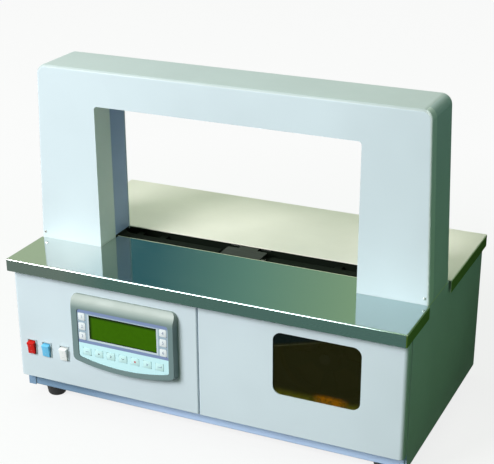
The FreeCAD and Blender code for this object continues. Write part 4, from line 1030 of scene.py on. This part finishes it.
@dataclass
class ControlPanel:
    """Moulded housing, printed film, display and thirteen keys."""

    bench: Bench
    # Span across the recess's left wall, which gets painted shade.
    dark_wall: Span = (-0.1815, -0.1775)
    corner: float = 0.0016
    rim: float = 0.0003
    mark_depth: float = 0.00006
    mark_size: float = 0.0042
    numeral_size: float = 0.0063
    keys: tuple[tuple[str, KeyMark | int, str], ...] = (
        *((f"function_key_{number}", number, "mark_blue") for number in range(1, 7)),
        ("escape_key", KeyMark.BAR, "mark_blue"), ("left_key", KeyMark.UP, "mark_dark"),
        ("right_key", KeyMark.RIGHT, "mark_dark"), ("up_key", KeyMark.DOWN, "mark_dark"),
        ("down_key", KeyMark.DOT, "mark_red"), ("set_key", KeyMark.PAIR, "mark_blue"),
        ("enter_key", KeyMark.ENTER, "mark_blue"))

    def build(self) -> None:
        """Builds every piece."""
        self.bench.refine("panel_housing", "panel_grey", "recess_painted_shade", width=0.0007, segments=3,
                          choose=self.housing_coat)
        self.bench.refine("keypad_film", "film_print", width=0.0)
        self.bench.refine("display_window", "display_green", width=0.0002)
        for node, mark, ink in self.keys:
            self.key(node, mark, ink)

    def housing_coat(self, face: Face, middle: Vector) -> str:
        """Returns the finish of one face of the housing, whose left recess wall gets painted shade."""
        dark = face.normal.x > 0.3 and self.dark_wall[0] < middle.x < self.dark_wall[1]
        return "recess_painted_shade" if dark else "panel_grey"

    def key(self, node: str, mark: KeyMark | int, ink: str) -> None:
        """Soft-cornered key with its printed mark.

        Args:
            node: CAD node that the key stands for.
            mark: Mark or number printed on it.
            ink: Finish of the mark.
        """
        low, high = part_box(node)
        middle = (low + high) / 2
        shape = self.cap(high - low)
        move(shape, middle)
        print_on = self.ink(mark)
        move(print_on, (middle.x, low.y - self.mark_depth / 2 + HAIR, middle.z))
        pour(shape, print_on, 1)
        face = "key_white" if node.startswith("function") else "key_cyan"
        self.bench.refine(node, face, ink, shape=shape, cap=True)

    def cap(self, size: Vector) -> Shape:
        """Plate about the origin, with round corners seen from the front and a soft front rim.

        Args:
            size: Width, depth and height.

        Returns:
            The shape.
        """
        shape = block(tuple(size))
        upright = [edge for edge in shape.edges
                   if abs((edge.verts[0].co - edge.verts[1].co).normalized().y) > 0.9]
        bevel(shape, upright, self.corner, 4)
        front = HAIR - size.y / 2
        rim = [edge for edge in shape.edges if all(vert.co.y < front for vert in edge.verts)]
        bevel(shape, rim, self.rim)
        return shape

    def ink(self, mark: KeyMark | int) -> Shape:
        """Builds one mark, flat about the origin and facing the front.

        Args:
            mark: The mark or number.

        Returns:
            Its shape.
        """
        if isinstance(mark, int):
            return self.numeral(str(mark))
        size, depth = self.mark_size, self.mark_depth
        shape = bmesh.new()
        for length, *rest in mark.value:
            if len(rest) == 1:
                bmesh.ops.create_cone(shape, cap_ends=True, segments=rest[0], radius1=length * size,
                                      radius2=length * size, depth=depth,
                                      matrix=Matrix.Rotation(math.pi / 2, 4, "X"))
                continue
            height, x, z, turn = rest
            bar = block((length * size, depth, height * size))
            move(bar, (x * size, 0.0, z * size), Matrix.Rotation(math.radians(turn), 3, "Y"))
            pour(shape, bar)
        return shape

    def numeral(self, text: str) -> Shape:
        """Plain number in ink.

        Args:
            text: The number.

        Returns:
            The shape.
        """
        curve = bpy.data.curves.new("numeral", "FONT")
        curve.body = text
        curve.size = self.numeral_size
        curve.align_x = curve.align_y = "CENTER"
        curve.extrude = self.mark_depth / 2
        curve.resolution_u = 3
        holder = bpy.data.objects.new("numeral", curve)
        mesh = bpy.data.meshes.new_from_object(holder)
        shape = bmesh.new()
        shape.from_mesh(mesh)
        bpy.data.objects.remove(holder)
        bpy.data.curves.remove(curve)
        bpy.data.meshes.remove(mesh)
        move(shape, Vector(), Matrix.Rotation(math.pi / 2, 3, "X"))
        return shape


# Switches


@dataclass
class Switches:
    """Three rocker switches in bodies with a pale flange."""

    bench: Bench
    pivot_y: float = -0.163
    pivot_z: float = 0.0888
    tilt: float = 10.0
    flange_y: float = -0.1661
    stroke: Point = (0.0006, 0.0001, 0.0032)
    stroke_y: float = -0.0077
    ring_radius: float = 0.0015
    ring_hole: float = 0.62
    ring_y: float = -0.00775
    mark_rise: float = 0.005
    rockers: tuple[tuple[str, float, str, str], ...] = (
        ("power_rocker", -0.264, "rocker_red", "ink_on_red"),
        ("heater_rocker", -0.2398, "rocker_blue", "ink_on_blue"),
        ("feed_rocker", -0.2112, "rocker_white", "ink_on_white"))

    def build(self) -> None:
        """Builds every piece."""
        self.bench.refine("switch_bodies", "switch_black", "switch_grey", choose=lambda _face, middle: (
            "switch_grey" if middle.y < self.flange_y else "switch_black"))
        for node, x, finish, ink in self.rockers:
            self.rocker(node, x, finish, ink)

    def rocker(self, node: str, x: float, finish: str, ink: str) -> None:
        """Rocker with a stroke above and a ring below.

        Args:
            node: CAD node that the piece stands for.
            x: Place of the switch.
            finish: Finish of the rocker.
            ink: Finish of its marks.
        """
        shape = self.bench.formed(node, 0.0005, 3, 25.0, 0.001)
        stroke = block(self.stroke)
        move(stroke, (0.0, self.stroke_y, self.mark_rise))
        ring = bmesh.new()
        bmesh.ops.create_circle(ring, segments=24, radius=self.ring_radius,
                                matrix=Matrix.Rotation(math.pi / 2, 4, "X"))
        grown = bmesh.ops.extrude_edge_only(ring, edges=ring.edges)["geom"]
        inner = [item for item in grown if isinstance(item, bmesh.types.BMVert)]
        bmesh.ops.scale(ring, vec=(self.ring_hole, 1.0, self.ring_hole), verts=inner)
        move(ring, (0.0, self.ring_y, -self.mark_rise))
        for part in (stroke, ring):
            move(part, (x, self.pivot_y, self.pivot_z), Matrix.Rotation(math.radians(self.tilt), 3, "X"))
            pour(shape, part, 1)
        self.bench.refine(node, finish, ink, shape=shape, cap=True)


# Mechanism


@dataclass
class Mechanism:
    """Main plate, sealing head, band feed, reel and electrics."""

    bench: Bench
    # Depth and height that bound the plates' faces in painted shade, where the band slot shows them.
    guard_y: float = 0.0035
    guard_z: float = 0.205
    head_screw_x: float = 0.040
    head_screw_y: float = 0.0065
    head_screw_z: Span = (0.155, 0.195)
    inlet_screws: tuple[Point, ...] = ((-0.2455, 0.173, 0.074), (-0.2065, 0.173, 0.074))

    def build(self) -> None:
        """Builds every piece."""
        for node in ("main_plate", "head_frame"):
            self.bench.refine(node, "plate_aluminium", "slot_painted_shade", width=0.0004, cut_z=self.guard_z,
                              choose=self.coat)
        for node, finish, width in (
            ("grippers", "ground_steel", 0.0002), ("heater_press", "ground_steel", 0.0002),
            ("cutter_blade", "ground_steel", 0.0001), ("cam_shaft", "ground_steel", 0.0002),
            # The anvil is near-black painted shade.
            ("anvil", "anvil_painted_shade", 0.0), ("seal_motor", "motor_enamel", 0.0006),
            ("feed_motor", "motor_enamel", 0.0006), ("feed_roller", "plate_aluminium", 0.0003),
            ("feed_tyre", "tyre_orange", 0.0006), ("pinch_arm", "zinc_plate", 0.0003),
            ("pinch_roller", "plate_aluminium", 0.0004), ("reel_spindle", "zinc_plate", 0.0004),
            ("reel_hub", "reel_black", 0.0004), ("band_roll", "wound_band", 0.0003),
            ("reel_cap", "reel_black", 0.0005), ("power_inlet", "inlet_black", 0.0003),
            ("control_board", "board_laminate", 0.0002),
        ):
            self.bench.refine(node, finish, width=width)
        head = [(side * self.head_screw_x, self.head_screw_y, z) for side in (-1.0, 1.0)
                for z in self.head_screw_z]
        self.bench.screws("plate_rear_screws", head, REAR)
        self.bench.screws("inlet_screws", list(self.inlet_screws), REAR, PanHead(0.002, 0.001))

    def coat(self, _face: Face, middle: Vector) -> str:
        """Returns the finish of a face of a plate, which gets painted shade where the band slot shows it.
        """
        in_painted_shade = middle.z > self.guard_z and middle.y < self.guard_y
        return "slot_painted_shade" if in_painted_shade else "plate_aluminium"


# Studio


@dataclass(frozen=True)
class Viewpoint:
    """The photograph's camera."""

    place: Point = (0.6843, -1.4955, 0.9028)
    azimuth: float = 24.973
    elevation: float = 24.142
    roll: float = -0.3535
    focal: float = 1268.74
    middle: Span = (242.82, 283.95)
    image: Span = (494.0, 464.0)
    sensor: float = 36.0

    def make(self) -> None:
        """Creates the camera and makes it the scene's."""
        data = bpy.data.cameras.new("photograph")
        data.sensor_width = self.sensor
        data.lens = self.focal * self.sensor / self.image[0]
        data.shift_x = (self.image[0] / 2 - self.middle[0]) / self.image[0]
        data.shift_y = (self.middle[1] - self.image[1] / 2) / self.image[0]
        data.clip_start = 0.05
        data.clip_end = 50.0
        camera = bpy.data.objects.new("photograph", data)
        pose = Matrix.Translation(self.place)
        for angle, axis in ((self.azimuth, "Z"), (90.0 - self.elevation, "X"), (self.roll, "Z")):
            pose = pose @ Matrix.Rotation(math.radians(angle), 4, axis)
        camera.matrix_world = pose
        bpy.context.scene.collection.objects.link(camera)
        bpy.context.scene.camera = camera


@dataclass(frozen=True)
class SoftBox:
    """Square lamp: its power is in watts and the width of its cone in degrees."""

    name: str
    place: Point
    target: Point
    size: float
    power: float
    colour: Colour
    spread: float = 180.0

    def make(self) -> None:
        """Hangs the lamp in the scene."""
        data = bpy.data.lights.new(self.name, "AREA")
        data.spread = math.radians(self.spread)
        data.shape = "SQUARE"
        data.size = self.size
        data.energy = self.power
        data.color = self.colour
        lamp = bpy.data.objects.new(self.name, data)
        lamp.location = self.place
        lamp.rotation_mode = "QUATERNION"
        lamp.rotation_quaternion = (Vector(self.target) - Vector(self.place)).to_track_quat("-Z", "Y")
        bpy.context.scene.collection.objects.link(lamp)


@dataclass
class Studio:
    """Pale floor with a low curved wall, a dim room above it, a dark flag and four lamps."""

    radius: float = 4.0
    wall: float = 1.5
    bend: float = 0.5
    bend_steps: int = 8
    flag_place: Point = (0.47, 0.12, 0.36)
    flag_size: Span = (0.95, 0.72)
    lamps: tuple[SoftBox, ...] = (
        SoftBox("key_box", (-1.5, -2.6, 1.9), (0.0, 0.0, 0.2), 1.5, 132.0, (0.97, 0.985, 1.0)),
        SoftBox("top_box", (-0.9, 0.6, 2.6), (-0.1, 0.0, 0.3), 1.2, 5.0, (0.92, 1.0, 0.96)),
        SoftBox("table_spot_left", (-0.10, 0.55, 1.15), (-0.13, 0.09, 0.224), 0.12, 0.042, WHITE, 20.0),
        SoftBox("table_spot_right", (0.25, 0.55, 1.15), (0.25, 0.09, 0.224), 0.12, 0.026, (1.0, 0.98, 0.96),
                16.0))

    def build(self) -> None:
        """Builds the floor, the flag, the room and the lamps."""
        self.floor()
        self.flag()
        bpy.context.scene.world = Room("room").make()
        for lamp in self.lamps:
            lamp.make()

    def floor(self) -> None:
        """Floor disc whose edge turns up into the wall."""
        start, quarter = self.radius - self.bend, math.pi / 2 / self.bend_steps
        turns = [step * quarter for step in range(self.bend_steps + 1)]
        curve = [(start + self.bend * math.sin(turn), 0.0, self.bend - self.bend * math.cos(turn))
                 for turn in turns]
        profile = [(0.0, 0.0, 0.0), *curve, (self.radius, 0.0, self.wall)]
        shape = bmesh.new()
        verts = [shape.verts.new(point) for point in profile]
        edges = [shape.edges.new(pair) for pair in zip(verts, verts[1:])]
        bmesh.ops.spin(shape, geom=verts + edges, cent=(0.0, 0.0, 0.0), axis=(0.0, 0.0, 1.0),
                       angle=math.tau, steps=72, use_merge=True)
        bmesh.ops.remove_doubles(shape, verts=shape.verts, dist=0.0001)
        bmesh.ops.recalc_face_normals(shape, faces=shape.faces)
        floor = stand("floor", shape)
        floor.data.materials.append(StudioPaper("studio_paper").make())

    def flag(self) -> None:
        """Dark green card at the right of the object that keeps light off it, out of the camera's sight."""
        width, height = self.flag_size
        shape = bmesh.new()
        bmesh.ops.create_grid(shape, x_segments=1, y_segments=1, size=0.5,
                              matrix=Matrix.Translation(self.flag_place)
                              @ Matrix.Rotation(-math.pi / 2, 4, "Y")
                              @ Matrix.Diagonal((height, width, 1.0, 1.0)))
        card = stand("flag", shape)
        card.visible_camera = False
        card.visible_shadow = False
        card.data.materials.append(FlagCloth("flag_cloth").make())


def main() -> None:
    """Builds the machine and its studio, and reports each piece."""
    logging.basicConfig(level=logging.INFO, format="%(name)s: %(message)s")
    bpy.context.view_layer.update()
    bench = Bench()
    for assembly in (Cabinet(bench), Tables(bench), Arch(bench), ControlPanel(bench), Switches(bench),
                     Mechanism(bench)):
        assembly.build()
        log.info("%s is built", type(assembly).__name__)
    Studio().build()
    Viewpoint().make()
    bpy.context.scene.view_settings.view_transform = "Standard"
    log.info("%d pieces", bench.count)


if __name__ == "__main__":
    main()
